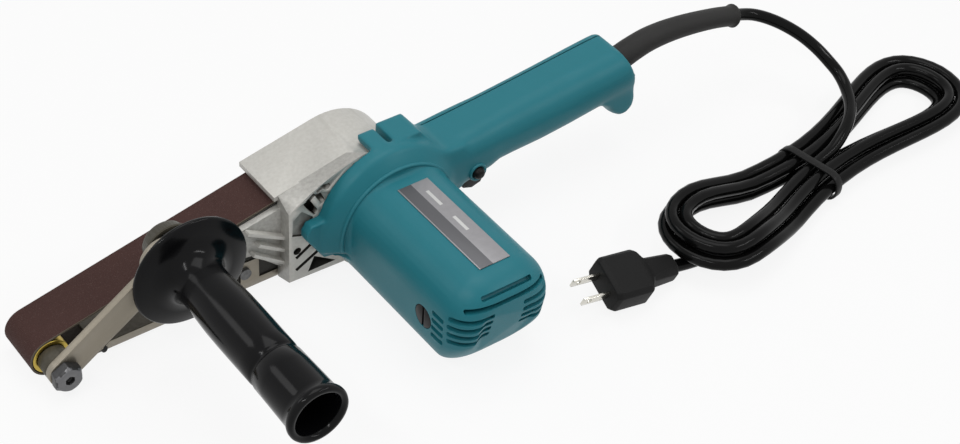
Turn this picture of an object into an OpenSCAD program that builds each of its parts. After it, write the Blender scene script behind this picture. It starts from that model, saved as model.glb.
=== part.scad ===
// Power file: a narrow belt sander with a side mounted motor, a rear handle, a side grip and a coiled lead.
// X runs along the belt to the idler end, Y from the belt to the motor, Z up. The belt's flat run is at Z = 0.

/* [Belt and wheels] */
// Width of the abrasive belt
belt_width = 30; // [26:1:32]
// Thickness of the belt
belt_thick = 1.2; // [0.8:0.1:1.6]
// Distance between the axles, measured along the belt's flat run
axle_span = 181.7; // [175:0.1:190]
// Radius of the drive wheel over its rubber tyre
drive_wheel_r = 30.9; // [29:0.1:31.5]
// Radius of the idler wheel
idler_wheel_r = 10.7; // [9.5:0.1:11.5]
// Thickness of the rubber tyre on the drive wheel
tyre_thick = 2.6; // [1.5:0.1:4]
// Radius of the drive spindle
spindle_r = 5; // [4:0.1:5.5]
// Wall of the hollow idler wheel
idler_wall = 2.2; // [1.5:0.1:2.8]
// Radius of the idler axle
idler_axle_r = 4; // [3:0.1:4.5]

/* [Gears] */
// Tooth size: pitch diameter divided by tooth count
gear_module = 0.9; // [0.8:0.05:0.95]
// Teeth on the motor pinion
pinion_teeth = 10; // [9:1:11]
// Teeth on the drive gear, even so that a gap can face the pinion
gear_teeth = 38; // [36:2:40]
// Width of the drive gear
gear_width = 5.5; // [4:0.5:6]

/* [Gear housing] */
// Wall of the belt hood
hood_wall = 3; // [2:0.1:3.5]
// Far edge of the hood behind the belt's middle
hood_far = 18.5; // [17:0.5:20]
// Near end of the hood and start of the gear chamber
hood_near = 17; // [16.6:0.1:17.5]
// Radius of the hood's round back
hood_r = 38.75; // [38:0.05:39.5]
// Hood centre behind the drive axle
hood_back = 12; // [10:0.5:13]
// Hood centre above the drive axle
hood_rise = 2; // [1:0.1:3]
// Hood's top edge slopes down to the front by this angle
hood_slope = 12.35; // [11:0.05:13.5]
// Front edge of the hood ahead of the drive axle
hood_front = 44; // [42.5:0.5:50]
// Front face of the gear housing ahead of the drive axle
column_front = 41.5; // [40:0.5:42]
// Near face of the gear housing
wall_near = 29; // [28.5:0.1:30]
// Near wall of the gear housing, thickness
wall_thick = 3; // [2:0.1:4]
// Inner wall that carries the spindle bearing, thickness
inner_wall = 4; // [3:0.1:4.5]
// Height of the front face at the near wall
column_top = 56; // [53:0.5:57]
// Height of the near wall's lower edge
column_bottom = 5.5; // [4:0.5:7]
// Radius of the near wall's long top curve
top_curve_r = 120; // [118:1:122]
// Thickness of the nose strut that carries the side grip
nose_thick = 4; // [3:0.1:4.5]
// Radius of the grip boss on the nose strut
boss_r = 8; // [7:0.1:8.5]

/* [Shoe plate] */
// Rear end of the shoe plate ahead of the drive axle
shoe_rear = 34; // [33:0.5:36]
// Front end of the shoe plate behind the idler axle
shoe_short = 27.7; // [25:0.1:40]
// Thickness of the shoe plate
shoe_thick = 1.6; // [1.2:0.1:2]
// Height of the shoe plate's side flange above the belt's inside
shoe_flange = 5; // [4:0.5:7]

/* [Idler arm] */
// Near face of the arm
arm_near = 29.5; // [29.5:0.1:30.5]
// Thickness of the arm
arm_thick = 4.5; // [3:0.1:5]
// Half width of the arm
arm_half = 8.4; // [7:0.1:9.5]
// Travel of the arm back along the belt
arm_travel = 8; // [4:0.5:9]
// Radius of the idler bolt's head
bolt_head_r = 7.75; // [6.5:0.05:8.2]
// Height of the idler bolt's head
bolt_head_h = 7; // [5:0.5:8]

/* [Side grip] */
// Grip axis ahead of the drive axle
grip_ahead = 111.1; // [108:0.1:114]
// Height of the grip axis
grip_height = 60.8; // [58:0.1:63]
// Where the grip's disc seats on its boss
grip_seat = 40; // [39:0.5:42]
// Length of the grip from its seat to the end flange
grip_length = 127; // [115:1:135]
// Radius of the hand guard disc
disc_r = 34; // [30:0.5:36]
// Radius of the grip's end flange
grip_end_r = 17.6; // [16.5:0.1:19]
// Radius of the grip body next to the disc
grip_body_r = 13.2; // [12:0.1:14]
// Outer radius of the stamped bracket's rolled rim
bracket_r = 20; // [19:0.5:21]
// Radius of the grip stud
stud_r = 4; // [3.5:0.1:4.5]

/* [Motor] */
// Half width of the square motor barrel
barrel_half = 33; // [32:0.1:33.4]
// Corner radius of the motor barrel
barrel_corner = 23.5; // [20:0.5:26]
// End face of the motor barrel
barrel_end = 147; // [143:1:152]
// Rounding between the barrel and its end face
barrel_round = 15; // [10:1:18]
// Radius of the round motor flange
flange_r = 46.3; // [45.5:0.1:47]
// Thickness of the flange rim
flange_thick = 7; // [5:0.5:8]
// Bore of the motor barrel
barrel_bore = 29.5; // [29.2:0.1:30]
// Clear height under the motor barrel
barrel_clear = 0.5; // [0.3:0.1:1]
// Radius of the armature shaft
shaft_r = 3.4; // [3:0.1:3.6]
// Radius of the armature core
armature_r = 18.4; // [16:0.1:18.7]
// Inner radius of the field core
field_r = 19; // [18.9:0.1:20]
// Radius of the commutator
commutator_r = 11; // [9:0.5:12]
// Blades on the cooling fan
fan_blades = 11; // [7:1:15]
// Radius of a brush cap
brush_cap_r = 7; // [6:0.1:8]
// Length of the label plate
label_length = 76; // [60:1:80]
// Width of the label plate
label_width = 20; // [14:0.5:22]
// Thickness of the label plate
label_thick = 0.6; // [0.4:0.1:1]

/* [Handle] */
// Handle tilts up to the rear by this angle
handle_tilt = 6.4; // [5:0.1:8]
// Width of the handle
handle_width = 36; // [34:0.5:37]
// Depth of the handle
handle_depth = 33.4; // [32:0.1:35]
// Corner radius of the handle
handle_corner = 11; // [8:0.5:12]
// Far face of the handle
handle_far = 4; // [3.5:0.1:5]
// Seam between the handle cover and the near half
handle_seam = 10; // [9.5:0.1:10.5]
// Handle wall
handle_wall = 3; // [2.4:0.1:3.2]
// Handle middle behind the drive axle
handle_back = 98.7; // [97:0.1:100]
// Handle middle height
handle_height = 49.5; // [48:0.1:51]
// Length of the handle behind its middle
handle_rear = 101; // [97:1:104]
// Depth of the pommel under the handle's lower face
pommel_drop = 12; // [8:0.5:14]
// Set back of the pommel's sides from the handle's sides
pommel_inset = 3.6; // [3.4:0.1:4.5]
// Turn of the trigger when pressed
trigger_turn = 8; // [5:1:9]
// Travel of the lock button
lock_travel = 2.5; // [1.5:0.1:3]
// Radius of the lock button
lock_r = 5; // [4:0.1:6]

/* [Lead] */
// Diameter of the lead
lead_d = 7.8; // [7:0.1:8]
// Middle of the hank along the tool
hank_x = -375.85; // [-385:0.05:-370]
// Middle of the hank across the tool
hank_y = 117.5; // [115:0.5:120]
// Turn of the hank on the table
hank_turn = 9.7; // [8:0.1:11]
// Half length of the hank's outermost loop
hank_half = 133; // [125:1:140]
// Half width of the hank at its waist
waist_half = 19; // [18.6:0.1:21]
// Fullness of the hank's lobes
lobe_full = 73; // [66:1:80]
// Turns in the hank
hank_turns = 4; // [4:2:4]
// Step from one strand to the next
strand_step = 8.4; // [8.4:0.1:9]
// Lift of the lobe that lies over the plug's tail
lobe_lift = 10.5; // [10:0.5:13]
// Thickness of the tie band
tie_thick = 1.5; // [1:0.1:1.6]
// Width of the tie band
tie_width = 9; // [6:0.5:12]
// Root radius of the cord guard
guard_r = 8.3; // [7.5:0.1:8.5]
// Length of the plug from its neck to its face
plug_length = 49; // [40:1:50]
// Width of the plug
plug_width = 30; // [26:1:32]
// Thickness of the plug
plug_thick = 18; // [16:0.5:20]
// Length of a plug blade
blade_length = 18; // [15:0.5:20]
// Distance between the blades
blade_gap = 12.7; // [12:0.1:13]

/* [Clearances] */
// Play between the belt and its wheels
belt_play = 0.4; // [0.3:0.1:0.8]
// Gap of a press or shaft fit
fit_gap = 0.03; // [0.02:0.01:0.05]
// Gap between pieces that only lie side by side
side_gap = 0.3; // [0.3:0.1:0.4]
// Overrun of every cut
over = 1; // [0.5:0.5:2]

/* [Hidden] */
$fn = 48;
drive_loop_r = drive_wheel_r + belt_play;
idler_loop_r = idler_wheel_r + belt_play;
drive_z = drive_loop_r + belt_thick;
idler_z = idler_loop_r + belt_thick;
drive_x = -axle_span / 2;
belt_half = belt_width / 2;
gear_centres = gear_module * (pinion_teeth + gear_teeth) / 2;
motor_z = barrel_half + barrel_clear;
barrel_diagonal = (barrel_half - barrel_corner) * sqrt(2) + barrel_corner;
motor_x = -sqrt(gear_centres * gear_centres - (motor_z - drive_z) * (motor_z - drive_z));
mesh_angle = atan2(drive_z - motor_z, -motor_x);
run_angle = 2 * asin((drive_z - idler_z) / sqrt(axle_span * axle_span + pow(drive_z - idler_z, 2)));
hood_x = -hood_back;
// Angles where the hood's round back and the near wall's top curve end, and their steps
hood_wrap = 236;
top_curve_end = 75;
hood_steps = 24;
top_steps = 10;
hood_z = drive_z + hood_rise;

// Positions along the motor, as shares of the barrel's end face distance
fan_shares = [0.286, 0.35];
core_shares = [0.4, 0.66];
coil_shares = [0.36, 0.7];
commutator_shares = [0.72, 0.825];
brush_share = 0.782313;
brush_at = barrel_end * brush_share;
bore_end_share = 0.93;
// Teeth as shares of their pitch, at the root and at the tip
tooth_root_share = 0.52;
tooth_tip_share = 0.17;
addendum_share = 1;
dedendum_share = 1.25;
// Label middle as a share of the barrel's end distance
label_share = 0.625;
// Screw sizes
screw_r = 2;
screw_head_r = 3.6;
nut_share = 1.8;
washer_share = 1.3;
spacer_share = 1.6;
clamp_screw_share = 1.1;
screw_head_h = 2.4;
pin_r = 1.6;
small_round = 1.5;
slot_w = 2.4;
// Bearing sizes
motor_bearing_r = 8;
spindle_bearing_r = 11;
plate_bearing_r = 7;
bearing_w = 4.5;
plate_thick = 5;
idler_bearing_r = 7.5;
// Gear chamber levels
chamber_from = hood_near + inner_wall;
gear_from = chamber_from + 2 * fit_gap + small_round;
gear_to = gear_from + gear_width;
flange_to = wall_near + flange_thick;
shoulder_to = flange_to + flange_thick - small_round;
shoulder_r = flange_r - flange_thick;
// Nose strut outline: shares of the way from the drive axle to the grip axis, and of the grip height
nose_shares = [
    [0.34, 0.2], [0.38, 0.2], [0.54, 0.47], [0.7, 0.52], [0.88, 0.74],
    [1, 0.85], [1, 1.15], [0.86, 1.1], [0.6, 0.82], [0.38, 0.9], [0.34, 0.9]
];
rib_shares = [
    [[0.37, 0.58], [0.58, 0.81]],
    [[0.37, 0.43], [0.52, 0.62]],
    [[0.37, 0.275], [0.55, 0.525]]
];
// Bowl of the bracket in shares of its radius, and the room that its notch and gap leave
bowl_shares = [0.74, 0.79, 0.75, 0.7];
nose_middle_share = 0.8;
notch_share = 0.02;
gap_shares = [0.55, 1.5];
rib_thick = 2;
rib_rise = 4;
nose_from = hood_near - small_round / 2;
nose_to = nose_from + nose_thick;
// Block inside the belt loop that carries the shoe, as shares of the grip distance and height
beam_shares = [0.33, 0.6];
beam_top_share = 0.4;
beam_far_share = 0.3;
tab_shares = [0.48, 0.59];
tab_top_share = 0.35;
shoe_front = axle_span - shoe_short;
shoe_z = belt_thick + belt_play;
shoe_side = belt_half + side_gap;
// Near wall details: shares of the column's front distance and height
hole_share = [0.87, 0.48];
hole_r = 2.5;
slot_shares = [[[0.89, 0.39], [0.65, 0.5]], [[0.89, 0.23], [0.53, 0.375]]];
window_shares = [[0.25, 0.14], [0.7, 0.14], [0.6, 0.32]];
recess_shares = [[0.62, 0.85], [0.76, 0.65], [0.95, 0.7], [0.93, 0.9], [0.8, 0.98]];
recess_depth = 1.6;
pocket_share = 0.55;
upper_slot_shares = [[[0.72, 1.07], [0.6, 1.14]], [[0.56, 1.15], [0.44, 1.2]]];
// Guide screw and spring behind the hand guard disc
guide_share = [0.77, 0.84];
tongue_share = 0.7;
spring_height_share = 0.66;
lug_half_share = 0.07;
tab_half_share = 0.06;
spring_shares = [0.7, 0.86];
spring_r = 3;
spring_wire = 1;
spring_turns = 5;
coil_steps = 12;
lug_thick = 3;
arm_from = arm_near - arm_thick;
// Web behind the hood, lugs on top and the front ear, in shares of the flange radius from the motor's axis
web_shares = [[-0.55, 0.8], [-0.68, 0.73], [-0.82, 0.64], [-1.1, 0.6], [-1.1, 0], [-0.92, -0.2], [-0.55, -0.2]];
front_lug_shares = [[0.2, 0.85], [0.2, 1], [-0.05, 1], [-0.05, 0.85]];
rear_lug_shares = [[-0.12, 0.8], [-0.12, 1], [-0.48, 1], [-0.7, 0.72], [-0.7, 0.6]];
ear_low_share = 0.29;
ear_shares = [
    [0.9, 0.3], [1.13, 0.3], [1.21, 0.2], [1.19, 0.1], [0.95, -ear_low_share], [0.8, -ear_low_share]
];
hood_clear_share = 0.8;
// Underside of the pommel, in shares of the handle's length behind its middle
pommel_shares = [0.96, 0.86, 0.78];
// Air slots: shares of the barrel's half width, and of its end distance
end_slot_rows = 4;
end_slot_step_share = 0.2;
end_slot_shares = [0.4, 1.1];
end_slot_from_share = 0.96;
end_slot_rise_share = 0.2;
top_slot_half_shares = [0.72, 0.46];
top_slot_from_shares = [0.975, 0.963];
top_slot_rise_shares = [0.6, 0.74];
side_slot_shares = [0.845, 0.9];
side_slot_rise_share = 0.35;
// Grip profile: shares of the grip length and of the end flange's radius
grip_shares = [
    [0, 0.6], [0, 1.1], [0.018, 1.93], [0.03, 1.93], [0.045, 1.2], [0.06, 0.98], [0.12, 0.76],
    [0.5, 0.77], [0.6, 0.82], [0.605, 0.77], [0.625, 0.77], [0.63, 0.83], [0.9, 0.88], [0.965, 0.9],
    [0.975, 1], [1, 1], [1, 0.72], [0.8, 0.66]
];
disc_mark_share = 1.5;
grip_middle_share = 0.5;
grip_neck_share = 0.76;
grip_hollow_share = 0.8;
stud_share = 0.4;
// Guard and lead routes in the tool's frame
guard_route = [
    [-278, 21, 59], [-286, 21, 61.6], [-291, 21, 63.2], [-299, 21, 65.7], [-310, 21, 68], [-322, 21, 68.6],
    [-334, 21, 68], [-346, 21, 66.6], [-357, 21, 64.8], [-368, 21, 62.6], [-378, 21, 60],
    [-380, 21, 59.4], [-383.5, 21, 58.5]
];
guard_r_shares = [1, 1, 1, 0.98, 0.94, 0.9, 0.87, 0.84, 0.82, 0.8, 0.79, 0.9, 0.9];
lead_route = [
    [-383.5, 21, 58.5], [-391.3, 21, 56.5], [-399.5, 23.5, 54.6], [-407, 29.5, 52.5], [-414, 38, 49.5],
    [-420.5, 47.5, 45], [-425.5, 57, 39.5], [-429.5, 66, 33], [-431, 75, 28], [-427.5, 86, 24.7],
    [-419.5, 98, 23.3],
    [-409, 107.5, 22.2], [-397.5, 114, 19.6], [-386, 118, 15.9]
];
// Tail route and plug in the hank's own frame: along, across and up
tail_route = [
    [20, 2.6, 5.6], [40, 3.6, 5.6], [60, 5, 5.6], [80, 6.2, 5.6], [98, 6.4, 5.6],
    [112, 5, 5.7], [126, 1.9, 6.6], [139, -1.7, 8.5]
];
plug_pitch = 8;
plug_roll = -18;
plug_heading = -14.5;
hank_start_angle = 89;
hank_low = tie_thick + lead_d / 2 + side_gap / 2;
// Plug rings: shares of its length, of its half width and of its half thickness
plug_shares = [
    [0, 0.38, 0.6], [0.37, 0.5, 0.74], [0.43, 0.6, 0.86], [0.47, 0.92, 0.98], [0.52, 1, 1],
    [0.95, 1, 1], [1, 0.92, 0.9]
];
plug_round_share = 0.3;
ring_sides = 24;
lead_sides = 8;
hank_sides = 6;
hank_rings = 24;
// Share of a turn before and after the spiral's turning point in which it climbs, and where the near lobe lifts
climb_share = 0.25;
lift_shares = [0.35, 0.4];

// Places used by several pieces
handle_front = 44;
hollow_front_share = 0.3;
hollow_front = handle_front * hollow_front_share;
spindle_end_r = 3.5;
brush_half = 3.2;
tracking_back = 22;
tie_at = 12;
housing_screw_places = on_flange([[1.06, 0.14], [0.4, 0.82], [0.72, 0.56]]);
handle_screw_places = [[20, 9], [-40, 8], [-88, -12]];
tab_screw_share = [0.57, 0.24];
tab_screw = spot(tab_screw_share, grip_ahead, grip_height);
bracket_screw_at = [grip_ahead - stud_r - screw_r - over, grip_height + screw_r];
trigger_from = -94;
trigger_to = -73;
trigger_low = 19;
trigger_high = 38;
trigger_side = [16, 28];
trigger_pivot = [-76, 34.5];
trigger_shares = [[0, 1], [0, 0.5], [0.25, 0.12], [0.55, 0], [0.85, 0.1], [1, 0.5], [1, 1]];
lock_at = [-80, 40];
switch_from = [-30, 13, -4.5];
switch_to = [10, handle_far + handle_width - handle_wall - fit_gap, 5.5];
clamp_from = [-74, 25.2, -5];
clamp_to = [-64, handle_far + handle_width - handle_wall - fit_gap, 5];

// Points of a round stretch in a plane
function arc(cx, cy, r, from, to, steps) =
    [for (i = [0:steps]) let (a = from + (to - from) * i / steps) [cx + r * cos(a), cy + r * sin(a)]];

// A rectangle with round corners, centred
function round_box(w, h, r) = concat(
    arc(w / 2 - r, h / 2 - r, r, 0, 90, 8),
    arc(-w / 2 + r, h / 2 - r, r, 90, 180, 8),
    arc(-w / 2 + r, -h / 2 + r, r, 180, 270, 8),
    arc(w / 2 - r, -h / 2 + r, r, 270, 360, 8)
);

// Belt loop outline at a given distance over the wheels
function loop_outline(big, small) = concat(
    arc(0, drive_z, big, 90 - run_angle, 270, 40),
    arc(axle_span, idler_z, small, -90, 90 - run_angle, 24)
);

// Hood outline with a given radius: down the sloping top from the front and round the back
function hood_line(r, front) = [
    front,
    hood_z + r * sin(90 - hood_slope) - (front - hood_x - r * cos(90 - hood_slope)) * tan(hood_slope)
];
function hood_back_arc(r) = arc(hood_x, hood_z, r, 90 - hood_slope, hood_wrap, hood_steps);

// Gear outline
function gear_outline(teeth, turn) = let (
    pitch = 360 / teeth,
    r = gear_module * teeth / 2,
    tip = r + addendum_share * gear_module,
    root = r - dedendum_share * gear_module
) [
    for (i = [0:teeth - 1], side = [-1, 1], k = [0, 1])
        let (
            at_tip = side < 0 ? k == 1 : k == 0,
            a = turn + i * pitch + side * pitch * (at_tip ? tooth_tip_share : tooth_root_share) / 2,
            d = at_tip ? tip : root
        ) [d * cos(a), d * sin(a)]
];

// Points of the motor flange, in shares of its radius from the motor's axis
function on_flange(shares) = [for (s = shares) [motor_x + s[0] * flange_r, motor_z + s[1] * flange_r]];
function unit(v) = v / norm(v);
function spot(share, along, up) = [share[0] * along, share[1] * up];

// Rings of a tube along a path; radii holds one radius a point
function tube_rings(path, radii, sides) = [
    for (i = [0:len(path) - 1])
        let (
            last = len(path) - 1,
            way = unit(path[min(i + 1, last)] - path[max(i - 1, 0)]),
            right = unit(cross(way, [0, 0, 1])),
            up = cross(right, way)
        ) [
            for (j = [0:sides - 1])
                let (a = 360 * j / sides) path[i] + radii[i] * (right * cos(a) + up * sin(a))
        ]
];

// A solid through rings of equal point counts
module loft(rings) {
    m = len(rings[0]);
    n = len(rings);
    polyhedron(
        points = [for (ring = rings) each ring],
        faces = concat(
            [for (j = [1:m - 2]) [0, j + 1, j]],
            [for (j = [1:m - 2]) [(n - 1) * m, (n - 1) * m + j, (n - 1) * m + j + 1]],
            [for (i = [0:n - 2], j = [0:m - 1]) [i * m + j, i * m + (j + 1) % m, (i + 1) * m + (j + 1) % m]],
            [for (i = [0:n - 2], j = [0:m - 1]) [i * m + j, (i + 1) * m + (j + 1) % m, (i + 1) * m + j]]
        ),
        convexity = 8
    );
}

module tube(path, radii, sides) {
    loft(tube_rings(path, radii, sides));
}

// A flat outline in X and Z, drawn out from one Y to another
module slab(y_from, y_to) {
    translate([0, y_to, 0])
        rotate([90, 0, 0])
            linear_extrude(height = y_to - y_from)
                children();
}

module rod(x, z, y_from, y_to, r) {
    slab(y_from, y_to)
        translate([x, z])
            circle(r = r);
}

module pipe(x, z, y_from, y_to, r_out, r_in) {
    slab(y_from, y_to)
        translate([x, z])
            difference() {
                circle(r = r_out);
                circle(r = r_in);
            }
}

// A flat outline in Y and Z, drawn out along X
module bar(x_from, x_to) {
    translate([x_from, 0, 0])
        rotate([90, 0, 90])
            linear_extrude(height = x_to - x_from)
                children();
}

module block(from, to) {
    translate(from)
        cube(to - from);
}

// A profile of radius and Y, turned about a line along Y
module turned(x, z) {
    translate([x, 0, z])
        rotate([-90, 0, 0])
            rotate_extrude()
                children();
}

// A straight slot between two points of a wall
module slot(from, to, width, y_from, y_to) {
    way = to - from;
    slab(y_from, y_to)
        translate(from)
            rotate(atan2(way[1], way[0]))
                translate([0, -width / 2])
                    square([norm(way), width]);
}

module at_drive() {
    translate([drive_x, 0, 0])
        children();
}

// Abrasive belt: a closed loop over both wheels
module abrasive_belt() {
    color([0.27, 0.2, 0.19])
        slab(-belt_half, belt_half)
            difference() {
                polygon(loop_outline(drive_z, idler_z));
                polygon(loop_outline(drive_loop_r, idler_loop_r));
            }
}

// Outline rings of the gear chamber, from the hood's end to the near wall
function chamber_far_ring() = let (top = hood_line(hood_r, column_front)) concat(
    [[column_front, shoe_z]],
    [for (i = [0:top_steps - 1]) top + (hood_back_arc(hood_r)[0] - top) * i / top_steps],
    hood_back_arc(hood_r)
);
function chamber_near_ring() = let (
    start = [column_front, column_top],
    end = [motor_x + flange_r * cos(top_curve_end), motor_z + flange_r * sin(top_curve_end)],
    middle = (start + end) / 2,
    chord = norm(end - start),
    across = unit([-(start - end)[1], (start - end)[0]]),
    centre = middle - across * sqrt(top_curve_r * top_curve_r - chord * chord / 4),
    from = atan2(start[1] - centre[1], start[0] - centre[0]),
    to = atan2(end[1] - centre[1], end[0] - centre[0])
) concat(
    [[column_front, column_bottom]],
    arc(centre[0], centre[1], top_curve_r, from, to, top_steps),
    [for (i = [1:hood_steps]) hood_back_arc(hood_r)[i]]
);

module gear_housing() {
    grip = [grip_ahead, grip_height];
    color([0.76, 0.75, 0.72])
        difference() {
            union() {
                slab(-hood_far, hood_near + over)
                    polygon(concat(
                        [hood_line(hood_r, hood_front)],
                        hood_back_arc(hood_r),
                        [for (i = [0:hood_steps]) hood_back_arc(hood_r - hood_wall)[hood_steps - i]],
                        [hood_line(hood_r - hood_wall, hood_front)]
                    ));
                loft([
                    [for (p = chamber_far_ring()) [p[0], hood_near, p[1]]],
                    [for (p = chamber_near_ring()) [p[0], wall_near, p[1]]]
                ]);
                slab(nose_from, nose_to)
                    polygon([for (s = nose_shares) spot(s, grip_ahead, grip_height)]);
                for (rib = rib_shares)
                    slot(spot(rib[0], grip_ahead, grip_height), spot(rib[1], grip_ahead, grip_height),
                        rib_thick, nose_to - over, nose_to + rib_rise);
                rod(grip[0], grip[1], nose_from - small_round, nose_to + over, boss_r + small_round);
                rod(grip[0], grip[1], nose_from, grip_seat - side_gap, boss_r);
                rod(guide_share[0] * grip_ahead, guide_share[1] * grip_height, nose_from,
                    arm_from - side_gap, boss_r - lug_thick);
                block(
                    [
                        spring_shares[0] * grip_ahead - lug_thick,
                        nose_from,
                        (spring_height_share - lug_half_share) * grip_height
                    ],
                    [
                        spring_shares[0] * grip_ahead,
                        arm_from + small_round,
                        (spring_height_share + lug_half_share) * grip_height
                    ]
                );
                block(
                    [beam_shares[0] * grip_ahead, beam_far_share * belt_half, shoe_z + shoe_thick + fit_gap],
                    [beam_shares[1] * grip_ahead, shoe_side - fit_gap, beam_top_share * grip_height]
                );
                block(
                    [beam_shares[0] * grip_ahead, belt_half - over, shoe_z + shoe_flange + over],
                    [column_front - over, hood_near + over, beam_top_share * grip_height]
                );
            }
            rod(0, drive_z, hood_near - over, chamber_from + over, spindle_bearing_r + fit_gap);
            rod(0, drive_z, chamber_from, wall_near + over, gear_module * gear_teeth / 2 + small_round * 2);
            rod(motor_x, motor_z, chamber_from, wall_near + over, motor_bearing_r + small_round);
            rod(grip[0], grip[1], nose_from + over, grip_seat + over, stud_r + fit_gap);
            rod(
                guide_share[0] * grip_ahead, guide_share[1] * grip_height,
                nose_from + over, arm_near, screw_r + fit_gap
            );
            for (p = housing_screw_places)
                rod(p[0], p[1], chamber_from, wall_near + over, screw_r + fit_gap);
            rod(tab_screw[0], tab_screw[1], beam_far_share * belt_half + over, hood_near, screw_r + fit_gap);
            rod(
                bracket_screw_at[0], bracket_screw_at[1],
                nose_from - 2 * small_round, nose_to, screw_r + fit_gap
            );
            block(
                [column_front * pocket_share, chamber_from, column_bottom + wall_thick],
                [column_front - wall_thick, wall_near - wall_thick, column_top - wall_thick]
            );
            rod(
                hole_share[0] * column_front, hole_share[1] * column_top,
                chamber_from, wall_near + over, hole_r
            );
            for (s = slot_shares)
                slot(spot(s[0], column_front, column_top), spot(s[1], column_front, column_top),
                    slot_w, wall_near - wall_thick - over, wall_near + over);
            for (s = upper_slot_shares)
                slot(spot(s[0], column_front, column_top), spot(s[1], column_front, column_top),
                    slot_w, wall_near - wall_thick, wall_near + over);
            slab(chamber_from + over, wall_near + over)
                polygon([for (s = window_shares) spot(s, column_front, column_top)]);
            slab(wall_near - recess_depth, wall_near + over)
                polygon([for (s = recess_shares) spot(s, column_front, column_top)]);
        }
}

// Plate that closes the gear chamber and carries two bearings
module gear_plate() {
    color([0.7, 0.7, 0.68])
        difference() {
            rod(motor_x, motor_z, wall_near + fit_gap, wall_near + plate_thick, shoulder_r - small_round);
            block(
                [-2 * flange_r, wall_near - over, -flange_r],
                [2 * flange_r, wall_near + plate_thick + over, barrel_clear + wall_thick]
            );
            rod(motor_x, motor_z, wall_near - over, wall_near + plate_thick + over, motor_bearing_r + fit_gap);
            rod(0, drive_z, wall_near - over, wall_near + plate_thick + over, plate_bearing_r + fit_gap);
        }
}

// Outside of the handle in its own frame, with the pommel
module handle_frame() {
    translate([-handle_back, 0, handle_height])
        rotate([0, handle_tilt, 0])
            children();
}

module handle_solid(shrink) {
    middle = handle_far + handle_width / 2;
    bar(-handle_rear + shrink, handle_front)
        translate([middle, 0])
            polygon(round_box(handle_width - 2 * shrink, handle_depth - 2 * shrink, handle_corner - shrink));
    slab(handle_far + pommel_inset + shrink, handle_far + handle_width - pommel_inset - shrink)
        polygon([
            [-handle_rear + shrink, 0],
            [-handle_rear + shrink, -handle_depth / 2 - pommel_drop / 2],
            [-handle_rear * pommel_shares[0], -handle_depth / 2 - pommel_drop + shrink],
            [-handle_rear * pommel_shares[1], -handle_depth / 2 - pommel_drop + shrink],
            [-handle_rear * pommel_shares[2] - shrink, -handle_depth / 2 + small_round],
            [-handle_rear * pommel_shares[2] - shrink, 0]
        ]);
}

// Bosses round the handle screws
module handle_bosses() {
    for (p = handle_screw_places)
        rod(p[0], p[1], 0, handle_far + handle_width, screw_head_r + small_round);
}

// Material behind the hood that joins the motor flange to the handle
module rear_web() {
    slab(handle_seam, handle_far + handle_width - small_round)
        polygon(on_flange(web_shares));
}

module top_lugs() {
    slab(hood_near - lug_thick, wall_near + over)
        polygon(on_flange(front_lug_shares));
    slab(hood_near - 2 * lug_thick, wall_near + over)
        polygon(on_flange(rear_lug_shares));
}

module barrel() {
    intersection() {
        slab(flange_to - over, barrel_end + over)
            translate([motor_x, motor_z])
                polygon(round_box(2 * barrel_half, 2 * barrel_half, barrel_corner));
        turned(motor_x, motor_z)
            polygon(concat(
                [[0, flange_to - over], [barrel_diagonal, flange_to - over]],
                arc(barrel_diagonal - barrel_round, barrel_end - barrel_round, barrel_round, 0, 90, 8),
                [[0, barrel_end]]
            ));
    }
}

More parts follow.
